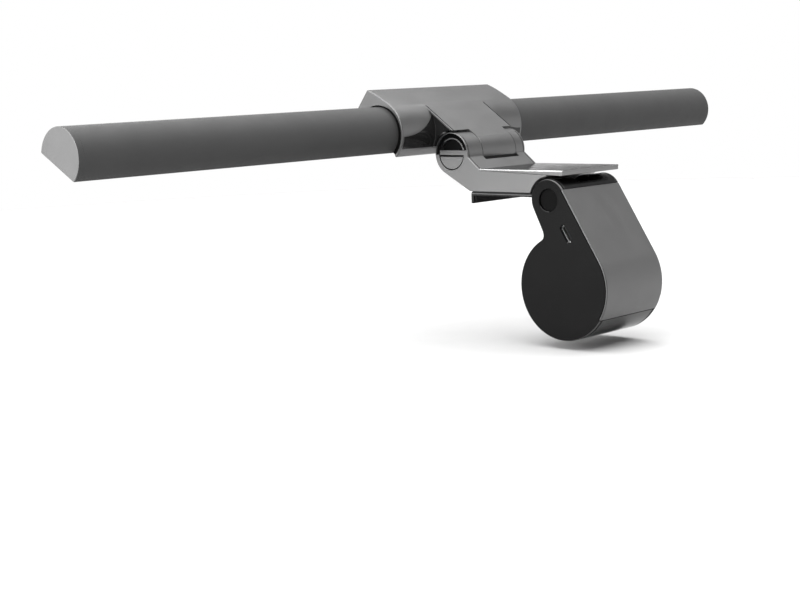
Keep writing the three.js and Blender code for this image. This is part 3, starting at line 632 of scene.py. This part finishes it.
def bar_shade_ring(side, name):
    """A black ring in the gap round the bar at one end of the sleeve: painted shade where the sleeve shades
    the bar.
    """
    turns = range(SLEEVE_BACK_END + 1, SHADE_RING_END, SHADE_RING_STEP)
    outline = []
    for turn in turns:
        lean = math.radians(turn - GAP_TURN)
        reach = GAP_SHIFT * math.cos(lean) + math.sqrt(GAP_RADIUS ** 2 - (GAP_SHIFT * math.sin(lean)) ** 2)
        outline.append(on_circle(BAR, reach - 0.02, turn))
    outline += [on_circle(BAR, BAR_RADIUS + 0.03, turn) for turn in reversed(turns)]
    ring = prism(outline, *sorted(side * (SLEEVE_HALF - depth) for depth in (GAP_DEPTH - 0.05, 0.5)))
    finished(name, ring, [BLACK_AND_PAINTED_SHADE], "lamp")


def lamp_carrier():
    """The sleeve with its end gaps, the arm's top and the knuckle, as one piece."""
    sleeve = prism(sleeve_section(), -SLEEVE_HALF, SLEEVE_HALF, edge=SLEEVE_EDGE, limit=40)
    room = fairing_strip(SLEEVE_RADIUS + 2, SLEEVE_RADIUS - FAIRING_DEPTH, FAIRING_FOOT, 0.0,
                         SLEEVE_HALF - RIM_WIDTH)
    gap = circle(add(BAR, along(GAP_TURN, GAP_SHIFT)), GAP_RADIUS)
    gaps = [prism(gap, *sorted((side * (SLEEVE_HALF - GAP_DEPTH), side * 60))) for side in (-1, 1)]
    sleeve = cut(sleeve, room, *gaps)
    knuckle = prism(circle(HINGE, BARREL_RADIUS), KNUCKLE_RIGHT, KNUCKLE_LEFT, edge=0.15, limit=60)
    body = join(sleeve, arm_plate(), knuckle)
    body = cut(body, prism(circle(HINGE, BUSH_ROOM), -40, 40))
    finished("arm_and_sleeve", body, [GREY_GLOSS, EDGE_METAL, BLACK_AND_PAINTED_SHADE], "lamp", ["lamp_carrier"],
             accent=carrier_finish_and_painted_shade)


def arm_fairing():
    """The black cover: a skin let into the sleeve's back and a block under the arm, beaded at its sides."""
    skin = fairing_strip(SLEEVE_RADIUS - 0.04, SLEEVE_RADIUS - FAIRING_DEPTH + 0.2, FAIRING_FOOT + 0.5, -0.12,
                         SLEEVE_HALF - RIM_WIDTH - 0.1)
    side = HOOK_HALF - 0.2
    block = prism(arm_slab(-2, ARM_LENGTH - 2, ARM_RIM + 0.12, 13), -side, side, edge=0.25)
    belly = prism(circle(BAR, SLEEVE_RADIUS + 12), -30, 30)
    block = combine(block, "INTERSECT", [belly])
    block = cut(block, prism(circle(BAR, SLEEVE_RADIUS - 0.5), -60, 60))
    block = cut(block, prism(arm_slab(-6, ARM_LENGTH, -4, ARM_PLATE + 0.1), -ARM_HALF + 0.8, ARM_HALF - 0.8))
    block = cut(block, prism(arm_slab(-6, ARM_LENGTH, -4, 7.2), KNUCKLE_RIGHT - 0.2, KNUCKLE_LEFT + 0.2))
    block = cut(block, prism(circle(HINGE, BARREL_RADIUS + 0.3), KNUCKLE_RIGHT - 0.2, KNUCKLE_LEFT + 0.2))
    block = cut(block, *ear_rooms())
    bead_line = arc(BAR, SLEEVE_RADIUS, FAIRING_FOOT + 1, 20)
    beads = [prism(strip(bead_line, 0.3), *sorted((side * (HOOK_HALF - 0.6), side * HOOK_HALF)), edge=0.2)
             for side in (-1, 1)]
    fairing = join(skin, block, *beads)
    finished("arm_cover", fairing, [FAIRING_GLOSS], "lamp", ["arm_fairing"])


def front_point(distance, depth):
    """A point along the sleeve's front face, from its sharp edge, at a depth under it."""
    start, end = add(BAR, SLEEVE_FRONT_EDGE), add(BAR, SLEEVE_NOSE)
    length = math.dist(start, end)
    dy, dz = (end[0] - start[0]) / length, (end[1] - start[1]) / length
    return (start[0] + distance * dy - depth * dz, start[1] + distance * dz + depth * dy)


def front_slab(start, end, top, bottom):
    return [front_point(*corner) for corner in ((start, top), (end, top), (end, bottom), (start, bottom))]


DISH_RADIUS = 3.4
DISH_PLACES = (-24, -8, 8, 24)


def touch_strip():
    """A glossy strip in the sleeve's front face with round dishes for a finger."""
    low, high = box("touch_strip")
    panel = prism(front_slab(3, 15, -0.9, 0.3), low.x, high.x, edge=0.35)
    inward = math.degrees(math.atan2(front_point(0, 1)[1] - front_point(0, 0)[1],
                                     front_point(0, 1)[0] - front_point(0, 0)[0]))
    place = Matrix.Rotation(math.radians(inward + 90), 4, "X")
    middle = front_point(9, -0.9)
    for x in DISH_PLACES:
        dish = upright_rod(DISH_RADIUS, 0, 0, -0.35, 1)
        dish.data.transform(Matrix.Translation((x, *middle)) @ place)
        panel = cut(panel, dish)
    finished("touch_panel", panel, [BLACK_GLOSS], "lamp", ["touch_strip"])


lamp_carrier()
# Black rings of painted shade in the gaps at the sleeve's ends.
bar_shade_ring(1, "bar_shade_ring_left")
bar_shade_ring(-1, "bar_shade_ring_right")
arm_fairing()
touch_strip()

# ---------------------------------------------------------------- hook
RAMP_TURN = -8  # where the ramp leaves the ear's circle
FRONT_TURN = 240.6  # where the sloping front meets it
UNDERSIDE = box("base_cover")[0].z
HOOK_FRONT = (-18.6, -18)  # the small chamfer at the front of the underside lies between these
UNDERCUT_RADIUS = PIVOT_RADIUS + 1.1
UNDERCUT_END = 94
POCKET_RADIUS = 7.7  # the round pockets in the ears' outer faces
LEFT_POCKET_FLOOR = 15.6
RIGHT_POCKET_FLOOR = -16.8
HOLLOW_FRONT = -12.4
HOLLOW_BACK = 12.5
HOLLOW_HALF = 17
LUG_RADIUS = 6.2
LUG_HALF = 6.3


def plate_underside(y):
    share = (y - PLATE_FRONT[0]) / (PLATE_BACK[0] - PLATE_FRONT[0])
    return PLATE_FRONT[1] - PLATE_LIP - share * (PLATE_EDGE - PLATE_LIP)


def hook_section():
    """The outline: ear, sloping front, underside, undercut over the pivot, the plate's seat and the ramp."""
    lean = math.degrees(math.asin((UNDERSIDE - PIVOT[1]) / UNDERCUT_RADIUS))
    tip = on_circle(PIVOT, UNDERCUT_RADIUS, UNDERCUT_END)[0]
    outline = arc(HINGE, BARREL_RADIUS, RAMP_TURN, FRONT_TURN)
    outline += [(HOOK_FRONT[0], UNDERSIDE + 0.3), (HOOK_FRONT[1], UNDERSIDE)]
    outline += arc(PIVOT, UNDERCUT_RADIUS, 180 - lean, UNDERCUT_END)
    outline += [(tip, plate_underside(tip) - 0.12), (PLATE_FRONT[0], plate_underside(PLATE_FRONT[0]) - 0.12)]
    outline += [(PLATE_FRONT[0] - 0.3, PLATE_FRONT[1])]
    return outline


BAND_LOW = -0.5  # the band that crosses the hinge's left end, from the hinge's axis
BAND_HIGH = 1.65
SLOT_LOW = -1.35  # the black slot under the band reaches down to here
HINGE_CAP_RADIUS = 7.2
SEAM_PLACE = (1.4, 0.9)  # the seams' distances from the hook's sides
KNUCKLE_GAP = 2.3  # between the knuckle and the wall of its room in the hook


def ear_recess():
    """The left ear's stepped recess: a dark crescent over the band that crosses the hinge's end."""
    radius = 9.7
    start = math.degrees(math.asin(BAND_HIGH / radius))
    outline = arc(HINGE, radius, start, 183)
    outline += [add(HINGE, (-6.9, BAND_LOW)), add(HINGE, (-6.9, BAND_HIGH))]
    return prism(outline, HOOK_HALF - 1.3, HOOK_HALF + 1)


def ear_band():
    """The light band across the left ear's pocket, part of the ear at its right end."""
    right = add(HINGE, (POCKET_RADIUS + 0.2, BAND_LOW)), add(HINGE, (POCKET_RADIUS + 0.2, BAND_HIGH))
    left = add(HINGE, (-7.1, BAND_HIGH)), add(HINGE, (-7.1, BAND_LOW))
    return prism([*right, *left], HOOK_HALF - 1.6, HOOK_HALF)


def cheek_seams():
    """Fine seams beside the hook's sides, round the ears and down the ramp."""
    ramp = [(PLATE_FRONT[0] - 0.6, PLATE_FRONT[1] + 0.3)]
    line = strip(arc(HINGE, BARREL_RADIUS, 60, RAMP_TURN) + ramp, 0.7)
    return [prism(line, *sorted(side * (HOOK_HALF - depth) for depth in SEAM_PLACE)) for side in (-1, 1)]


def hook_finish_and_painted_shade(centre, normal):
    """Metal on the ears' rounded outer edges, black painted shade in the seams beside the hook's sides."""
    depth = HOOK_HALF - abs(centre.x)
    on_barrel = math.dist((centre.y, centre.z), HINGE) > 9.2
    above_plate = centre.z > PLATE_FRONT[1] - 1
    if on_barrel and above_plate and SEAM_PLACE[1] - 0.01 < depth < SEAM_PLACE[0] + 0.01:
        # painted shade: the seams' faces are black
        return 2
    return on_barrel and centre.y < HINGE[0] + BARREL_RADIUS and 0.2 < abs(normal.x) < 0.96


def hook_body():
    """The hook with the pivot's lug, its hollow, pin holes, pockets in both ears and fine seams."""
    side = prism(hook_section(), -HOOK_HALF, HOOK_HALF, edge=0.28, limit=40)
    lug_root = [(17, 5.5), (17, UNDERSIDE + 0.1), (18, UNDERSIDE + 0.1)]
    lug = prism(lug_root + arc(PIVOT, LUG_RADIUS, -143, 88), -LUG_HALF, LUG_HALF, edge=0.2, limit=50)
    body = join(side, lug)
    hollow = [(HOLLOW_FRONT, UNDERSIDE - 1), (HOLLOW_BACK, UNDERSIDE - 1), (HOLLOW_BACK, 8), (-10, 9),
              (HOLLOW_FRONT, 7)]
    cover_low, cover_high = box("base_cover")
    gap = 0.3
    seat = rectangle(cover_low.y - gap, UNDERSIDE - 1, cover_high.y + gap, cover_high.z + gap)
    body = cut(
        body,
        prism(circle(HINGE, BARREL_RADIUS + KNUCKLE_GAP), KNUCKLE_RIGHT - 0.18, KNUCKLE_LEFT + 0.45),
        prism(hollow, -HOLLOW_HALF, HOLLOW_HALF),
        prism(seat, cover_low.x - gap, cover_high.x + gap),
        prism(circle(HINGE, PIN_ROOM), -30, 30),
        prism(circle(HINGE, POCKET_RADIUS), LEFT_POCKET_FLOOR, HOOK_HALF + 1),
        prism(circle(HINGE, POCKET_RADIUS), -HOOK_HALF - 1, RIGHT_POCKET_FLOOR),
        prism(circle(PIVOT, PIN_ROOM), -30, 30),
        ear_recess(),
        *cheek_seams(),
    )
    body = join(body, ear_band())
    finished("hook_casting", body, [GREY_GLOSS, EDGE_METAL, BLACK_AND_PAINTED_SHADE], "hook", ["hook_body"],
             accent=hook_finish_and_painted_shade)


def knuckle_shade_strip():
    """A black strip in the gap between the arm's knuckle and the ramp: painted shade where the knuckle's
    underside lies in shadow.
    """
    outside = arc(HINGE, BARREL_RADIUS + KNUCKLE_GAP - 0.1, -45, -16.5)
    outline = outside + arc(HINGE, BARREL_RADIUS + 0.25, -11, -45)
    shade_strip = prism(outline, KNUCKLE_RIGHT - 0.1, KNUCKLE_LEFT + 0.35)
    finished("knuckle_shade_strip", shade_strip, [BLACK_AND_PAINTED_SHADE], "hook")


PLATE_SHEET = 0.7  # thickness of the polished sheet at its back edge
WEDGE_EDGE = 2.2


def plate_finish(centre, normal):
    """Bright on the sheet's ends and its rounded back edge, duller on the back, grey on the wedge's ends."""
    at_end = abs(normal.x) > 0.3
    if at_end and centre.z < PLATE_BACK[1] - PLATE_SHEET:
        return 3
    if normal.y > 0.3 and (normal.y > 0.9 or centre.z < PLATE_BACK[1] - PLATE_SHEET):
        return 2
    return at_end or min(normal.y, normal.z) > 0.3


def top_plate():
    """A thin polished sheet on a wedge that thickens towards the back."""
    front, back = PLATE_FRONT, PLATE_BACK
    sheet = prism([front, (front[0], front[1] - PLATE_LIP), (back[0], back[1] - PLATE_SHEET), back],
                  -HOOK_HALF, HOOK_HALF, edge=0.14, limit=40)
    start, low_back = front[0] + 0.5, back[0] - 1
    section = [(start, front[1] - 0.3), (start, plate_underside(start))]
    section += [(low_back, plate_underside(low_back)), (back[0] - 0.1, back[1] - WEDGE_EDGE)]
    section.append((back[0] - 0.1, back[1] - 0.3))
    wedge = prism(section, -HOOK_HALF + 0.1, HOOK_HALF - 0.1, edge=0.08, limit=30)
    finished("polished_plate", join(sheet, wedge), [PLATE_METAL, BRIGHT_EDGE, RIM_METAL, GREY_GLOSS], "hook",
             ["top_plate"], accent=plate_finish)


def hinge_cap_left():
    """A cap whose lower half is flush with the hook's side, under its black slot, and whose upper half lies
    deep and is painted black there as shade."""
    face = HOOK_HALF - 0.05
    start = box("hinge_cap_left")[0].x
    disc = prism(circle(HINGE, HINGE_CAP_RADIUS, 5), start, face - 2.2)
    lower = math.degrees(math.asin(SLOT_LOW / HINGE_CAP_RADIUS))
    half = prism(arc(HINGE, HINGE_CAP_RADIUS, 180 - lower, 360 + lower), start, face, edge=0.15, limit=50)
    # The cap's deep part is black: painted shade in the ear's hollow.
    finished("hinge_end_left", join(disc, half), [GREY_GLOSS, BLACK_AND_PAINTED_SHADE], "hook", ["hinge_cap_left"],
             accent=lambda centre, normal: centre.x < face - 1.5)


def hinge_crescent():
    """The black ring that shows in the left ear's recess, with a thin metal lip round the hollow in it."""
    face = HOOK_HALF - 0.9
    outline = arc(HINGE, 9.65, 10.5, 182) + arc(HINGE, 7.5, 182, 13)
    ring = prism(outline, face - 0.5, face, edge=0.12, limit=60)
    finished("hinge_ring_left", ring, [BLACK_GLOSS], "hook")
    lip_line = arc(HINGE, HINGE_CAP_RADIUS, 16, 130)
    lip = prism(strip(lip_line, 0.24), face - 1, face + 0.3, edge=0.08, segments=2)
    finished("hinge_lip_left", lip, [RIM_METAL], "hook")


def hinge_cap_right():
    low, high = box("hinge_cap_right")
    chamfer = 0.25
    profile = [(high.x, 0), (high.x, HINGE_CAP_RADIUS), (low.x + chamfer, HINGE_CAP_RADIUS),
               (low.x, HINGE_CAP_RADIUS - chamfer), (low.x, 0)]
    slot = prism([add(HINGE, p) for p in rectangle(-5.4, -0.4, 5.4, 0.4)], low.x - 1, low.x + 0.8)
    finished("hinge_end_right", cut(turned(profile, HINGE), slot), [GREY_GLOSS], "hook", ["hinge_cap_right"])


def pad_with_ribs(name, node, ribs, direction):
    """A rubber pad whose working face has fine ribs along X."""
    low, high = box(node)
    if direction == "down":
        outline = [(high.y, high.z), (low.y, high.z), (low.y, low.z + 0.45)]
        span = high.y - low.y
        for i in range(ribs):
            y = low.y + span * i / ribs
            width = span / ribs
            outline += [(y + 0.2 * width, low.z), (y + 0.75 * width, low.z), (y + width, low.z + 0.45)]
    else:
        outline = [(low.y, high.z), (low.y, low.z), (high.y - 0.2, low.z)]
        span = high.z - low.z
        for i in range(ribs):
            z = low.z + span * i / ribs
            width = span / ribs
            outline += [(high.y, z + 0.25 * width), (high.y, z + 0.75 * width), (high.y - 0.2, z + width)]
    pad = prism(outline, low.x, high.x, edge=0.05, segments=2, limit=50)
    finished(name, pad, [RUBBER], "hook", [node])


def base_cover():
    low, high = box("base_cover")
    plate = prism(rectangle(low.y, low.z, high.y, high.z), low.x, high.x, edge=0.2)
    screws = [box("base_screw_" + side) for side in ("left", "right")]
    cutters = []
    for screw_low, screw_high in screws:
        middle = (screw_low + screw_high) / 2
        for radius, bottom, top in ((1.8, low.z - 1, low.z + 1.1), (1.1, low.z - 1, high.z + 1)):
            cutters.append(upright_rod(radius, middle.x, middle.y, bottom, top))
    finished("base_plate", cut(plate, *cutters), [BLACK_MATT], "hook", ["base_cover"])


def front_lip():
    low, high = box("front_lip")
    thickness = 1.5
    outline = [(low.y, low.z), (low.y + thickness, low.z), (low.y + thickness, high.z - 0.9),
               (high.y, high.z - 0.9), (high.y, high.z), (low.y + 1.2, high.z), (low.y + 0.35, high.z - 0.35),
               (low.y, high.z - 1.2)]
    finished("front_hook_lip", prism(outline, low.x, high.x, edge=0.25, limit=50), [BLACK_MATT], "hook",
             ["front_lip"])


def pad_highlight_sheet():
    """A thin light sheet between the rest pad's two layers; only its edge shows, as a painted highlight line.
    """
    low, high = box("rest_pad")
    outline = rectangle(low.y - 0.2, high.z - 0.95, high.y, high.z - 0.6)
    highlight_sheet = prism(outline, low.x - 0.25, high.x + 0.25, edge=0.1, segments=2)
    finished("pad_highlight_sheet", highlight_sheet, [GREY_GLOSS], "hook")


hook_body()
knuckle_shade_strip()
pad_highlight_sheet()
top_plate()
hinge_cap_left()
hinge_crescent()
hinge_cap_right()
pad_with_ribs("rest_cushion", "rest_pad", 15, "down")
pad_with_ribs("lip_cushion", "lip_pad", 5, "back")
base_cover()
front_lip()

# ---------------------------------------------------------------- counterweight
NECK_TURN = 206  # where the neck leaves the pivot's circle
DRUM_START = 119  # where its fillet meets the drum
BACK_TURN = tangent_turn(PIVOT, PIVOT_RADIUS, DRUM, DRUM_RADIUS)
BACK_LINE = BACK_TURN - 90
COVER_END = -34  # where the cover stops under the drum
COVER_THICKNESS = 1.6
COVER_EDGE = 0.95  # how much of the cover's thickness shows beside the side plate
NECK_FILLET = (10.5, 14)  # the start and the corner of the neck's fillet, down the neck
CAP_RECESS = 1.0
RIM_ROUND = 0.6
BLOCK_ROOM = DRUM_RADIUS - 6.8
BLOCK_ROOM_END = CORE_HALF - 3.3
CUSHION_HALF = 12  # degrees that the contact pad reaches to each side of the drum's front
CUSHION_RIBS = 9
PORT_ROOM = (12.5, 10.5)
PORT_ROOM_CENTRE = (36.6, -14.8)
PORT_ROOM_START = 2
PORT_SLOT = (8.9, 3.1)
SHELL_OUTSIDE = (8.7, 2.9)
SHELL_INSIDE = (8.0, 2.2)
PORT_DEPTH = 1.4  # how deep the socket's shell lies in the side plate's slot


def weight_section():
    """The pear: pivot circle, front neck with its fillet, drum and straight back."""
    neck = on_circle(PIVOT, PIVOT_RADIUS, NECK_TURN)
    down = [add(neck, along(NECK_TURN + 90, t)) for t in NECK_FILLET]
    fillet = curve(down[0], down[1], on_circle(DRUM, DRUM_RADIUS, DRUM_START), 8)
    round_top = arc(PIVOT, PIVOT_RADIUS, BACK_TURN, NECK_TURN, 3)
    drum = arc(DRUM, DRUM_RADIUS, DRUM_START, 360 + BACK_TURN, 3)
    return round_top + fillet[:-1] + drum


def cover_section(outer, inner, more):
    """The cover's section down the straight back and round the drum, between two depths."""
    def edge(inset):
        top = arc(PIVOT, PIVOT_RADIUS - inset, BACK_TURN + 3 * more + 0.01, BACK_TURN, 3)
        return top[-1:] + arc(DRUM, DRUM_RADIUS - inset, BACK_TURN, COVER_END - more, 3)
    return list(reversed(edge(outer) + list(reversed(edge(inner)))))


def weight_housing():
    """The pear-shaped core, with room for the cover, the lug, the weight, the contact pad and the socket."""
    body = prism(weight_section(), -CORE_HALF, CORE_HALF, edge=0.2, limit=60)
    room = prism(cover_section(-1, COVER_THICKNESS + 0.15, 0.3), -WEIGHT_HALF - 1, WEIGHT_HALF + 1)
    slot_half = LUG_HALF + 0.4
    sweep = arc(PIVOT, 14, 50, 232)
    pad_low, pad_high = box("contact_pad")
    pad_start, pad_end = 180 - CUSHION_HALF - 0.7, 180 + CUSHION_HALF + 0.7
    pad_room = arc(DRUM, DRUM_RADIUS + 1, pad_start, pad_end)
    pad_room += arc(DRUM, DRUM_RADIUS - 1.3, pad_end, pad_start)
    body = cut(
        body,
        room,
        prism(circle(PIVOT, LUG_RADIUS + 0.4), -slot_half, slot_half),
        prism([PIVOT] + sweep, -slot_half, slot_half),
        prism(circle(DRUM, BLOCK_ROOM), -CORE_HALF - 1, BLOCK_ROOM_END),
        prism(circle(PIVOT, BUSH_ROOM), -30, 30),
        prism(pad_room, pad_low.x - 0.3, pad_high.x + 0.3),
        prism(slot_outline(PORT_ROOM, PORT_ROOM_CENTRE), PORT_ROOM_START, CORE_HALF + 1),
    )
    finished("weight_shell", body, [SHELL_GLOSS], "counterweight", ["weight_housing"])


def slot_outline(size, centre):
    """A slot with round ends, of that length and width, its long side parallel to the straight back."""
    length, width = size
    corner = width / 2
    u, v = along(BACK_LINE), along(BACK_LINE + 90)
    outline = []
    for turn, (a, b) in ((-90, (1, -1)), (0, (1, 1)), (90, (-1, 1)), (180, (-1, -1))):
        h, w = a * (length / 2 - corner), b * (width / 2 - corner)
        middle = add(centre, (h * u[0] + w * v[0], h * u[1] + w * v[1]))
        outline += arc(middle, corner, BACK_LINE + turn, BACK_LINE + turn + 90, 15)
    return outline


def usb_centre():
    low, high = box("usb_socket")
    return ((low.y + high.y) / 2, (low.z + high.z) / 2)


def on_rim(centre, normal):
    """Whether a face of a side plate belongs to its rounded outer edge."""
    rounding = 0.12 < abs(normal.x) < 0.97 and abs(centre.x) > WEIGHT_HALF - RIM_ROUND
    return rounding and math.dist((centre.y, centre.z), PIVOT) > 6.5 and not near_port(centre)


def near_port(centre):
    return math.dist((centre.y, centre.z), usb_centre()) < 6


def side_plate(side, node):
    """A glossy plate with a round recess at the pivot and, on the left side, the port's slot."""
    inner, outer = WEIGHT_HALF - 1.8, WEIGHT_HALF
    plate = prism(weight_section(), inner, outer, edge=RIM_ROUND, segments=4, limit=60)
    plate = cut(plate, prism(cover_section(-1, COVER_EDGE + 0.15, 0.3), inner - 1, outer + 1))
    recess = turned([(outer - CAP_RECESS - 1.4, 0), (outer - CAP_RECESS - 1.4, 5.1), (outer - 0.25, 5.1),
                     (outer + 0.5, 5.85), (outer + 0.5, 0)], PIVOT)
    plate = cut(plate, recess)
    if side > 0:
        plate = cut(plate, prism(slot_outline(PORT_SLOT, usb_centre()), inner - 1, outer + 1))
    else:
        mirrored(plate)
    finished(node.replace("plate", "face"), plate, [BLACK_GLOSS, COVER_EDGE_METAL], "counterweight", [node],
             accent=on_rim)


def back_cover():
    cover = prism(cover_section(0.0, COVER_EDGE, 0.0), -WEIGHT_HALF, WEIGHT_HALF, edge=0.4, limit=40)
    inner = prism(cover_section(COVER_EDGE - 0.2, COVER_THICKNESS, 0.0), -CORE_HALF + 1, CORE_HALF - 1)
    finished("rear_cover", join(cover, inner), [COVER_PAINT, COVER_EDGE_METAL], "counterweight",
             ["back_cover"],
             accent=lambda centre, normal: abs(normal.x) > 0.2 and abs(centre.x) > WEIGHT_HALF - 0.41)


def pivot_cap(side, node):
    """A black cap at the bottom of the side plate's recess."""
    low, high = box(node)
    face, inside = WEIGHT_HALF - CAP_RECESS, min(abs(low.x), abs(high.x))
    cap = turned([(inside, 0), (inside, 5), (face - 0.1, 5), (face, 4.9), (face, 0)], PIVOT)
    if side < 0:
        mirrored(cap)
    finished(node.replace("cap", "button"), cap, [BLACK_AND_PAINTED_SHADE], "counterweight", [node])


def usb_socket():
    start, front = box("usb_socket")[0].x, WEIGHT_HALF - PORT_DEPTH
    shell = prism(slot_outline(SHELL_OUTSIDE, usb_centre()), start, front, edge=0.08, segments=2, limit=60)
    shell = cut(shell, prism(slot_outline(SHELL_INSIDE, usb_centre()), start + 0.7, WEIGHT_HALF + 1))
    finished("usb_shell", shell, [PORT_METAL], "counterweight", ["usb_socket"])


def contact_pad():
    """A rubber pad with fine ribs along X on the drum's front."""
    low, high = box("contact_pad")
    first, last = 180 - CUSHION_HALF, 180 + CUSHION_HALF
    outline = [on_circle(DRUM, DRUM_RADIUS - 1, first), on_circle(DRUM, DRUM_RADIUS - 0.3, first)]
    width = (last - first) / CUSHION_RIBS
    for i in range(CUSHION_RIBS):
        start = first + i * width
        outline += [on_circle(DRUM, DRUM_RADIUS, start + 0.25 * width),
                    on_circle(DRUM, DRUM_RADIUS, start + 0.75 * width),
                    on_circle(DRUM, DRUM_RADIUS - 0.3, start + width)]
    outline.append(on_circle(DRUM, DRUM_RADIUS - 1, last))
    pad = prism(outline, low.x, high.x, edge=0.06, segments=2, limit=50)
    finished("screen_cushion", pad, [RUBBER], "counterweight", ["contact_pad"])


weight_housing()
back_cover()
side_plate(1, "side_plate_left")
side_plate(-1, "side_plate_right")
pivot_cap(1, "pivot_cap_left")
pivot_cap(-1, "pivot_cap_right")
usb_socket()
contact_pad()

# ---------------------------------------------------------------- floor, lights and camera
CAMERA_PLACE = Vector((0.5905, 0.4651, 0.0587))
CAMERA_AZIMUTH = 133.0
CAMERA_ELEVATION = 8.16
CAMERA_ROLL = -2.15
CAMERA_LENS = 71.6


def camera():
    data = bpy.data.cameras.new("camera")
    data.lens = CAMERA_LENS
    data.sensor_width = 36
    data.clip_start, data.clip_end = 0.01, 50
    obj = bpy.data.objects.new("camera", data)
    bpy.context.scene.collection.objects.link(obj)
    turn, rise = math.radians(CAMERA_AZIMUTH), math.radians(CAMERA_ELEVATION)
    back = Vector((math.sin(turn) * math.cos(rise), -math.cos(turn) * math.cos(rise), math.sin(rise)))
    upright = (-back).to_track_quat("-Z", "Y").to_matrix().to_4x4()
    roll = Matrix.Rotation(math.radians(CAMERA_ROLL), 4, "Z")
    obj.matrix_world = Matrix.Translation(CAMERA_PLACE) @ upright @ roll
    bpy.context.scene.camera = obj


def area_light(name, place, target, size, power):
    data = bpy.data.lights.new(name, "AREA")
    data.shape = "RECTANGLE"
    data.size, data.size_y = size
    data.energy = power
    obj = bpy.data.objects.new(name, data)
    bpy.context.scene.collection.objects.link(obj)
    obj.location = Vector(place)
    obj.rotation_mode = "QUATERNION"
    obj.rotation_quaternion = (Vector(target) - Vector(place)).to_track_quat("-Z", "Y")


def floor():
    """A pale round floor close under the lamp."""
    radius, count = 1.0, 96
    level = cad_low.z - 0.004
    rim = [(*along(360 * i / count, radius), level) for i in range(count)]
    obj = mesh_object("studio_floor", rim, [tuple(range(count))])
    obj.data.materials.append(surface("studio_floor", 0.43, 0.7, mottle=0.01, bump=0.0, specular=0.1))


def world():
    """White all round and below, and dimmer overhead."""
    made = bpy.data.worlds.new("studio")
    made.use_nodes = True
    tree = made.node_tree
    place = tree.nodes.new("ShaderNodeTexCoord")
    split = tree.nodes.new("ShaderNodeSeparateXYZ")
    fade = tree.nodes.new("ShaderNodeMapRange")
    tree.links.new(place.outputs["Generated"], split.inputs["Vector"])
    tree.links.new(split.outputs["Z"], fade.inputs["Value"])
    fade.inputs["From Min"].default_value = 0.1
    fade.inputs["From Max"].default_value = 0.4
    fade.inputs["To Min"].default_value = 1.0
    fade.inputs["To Max"].default_value = 0.3
    background = tree.nodes["Background"]
    background.inputs["Color"].default_value = (1, 1, 1, 1)
    tree.links.new(fade.outputs["Result"], background.inputs["Strength"])
    bpy.context.scene.world = made


camera()
floor()
world()
bpy.context.scene.view_settings.view_transform = "Standard"
middle = (cad_low + cad_high) / 2
area_light("overhead", middle + Vector((0, 0, 2.2)), middle, (4.0, 4.0), 245)
area_light("left_side", middle + Vector((1.9, -0.5, 0.5)), middle, (1.3, 1.3), 58)
area_light("front_fill", middle + Vector((-0.6, -1.6, 0.9)), middle, (1.2, 1.0), 8)
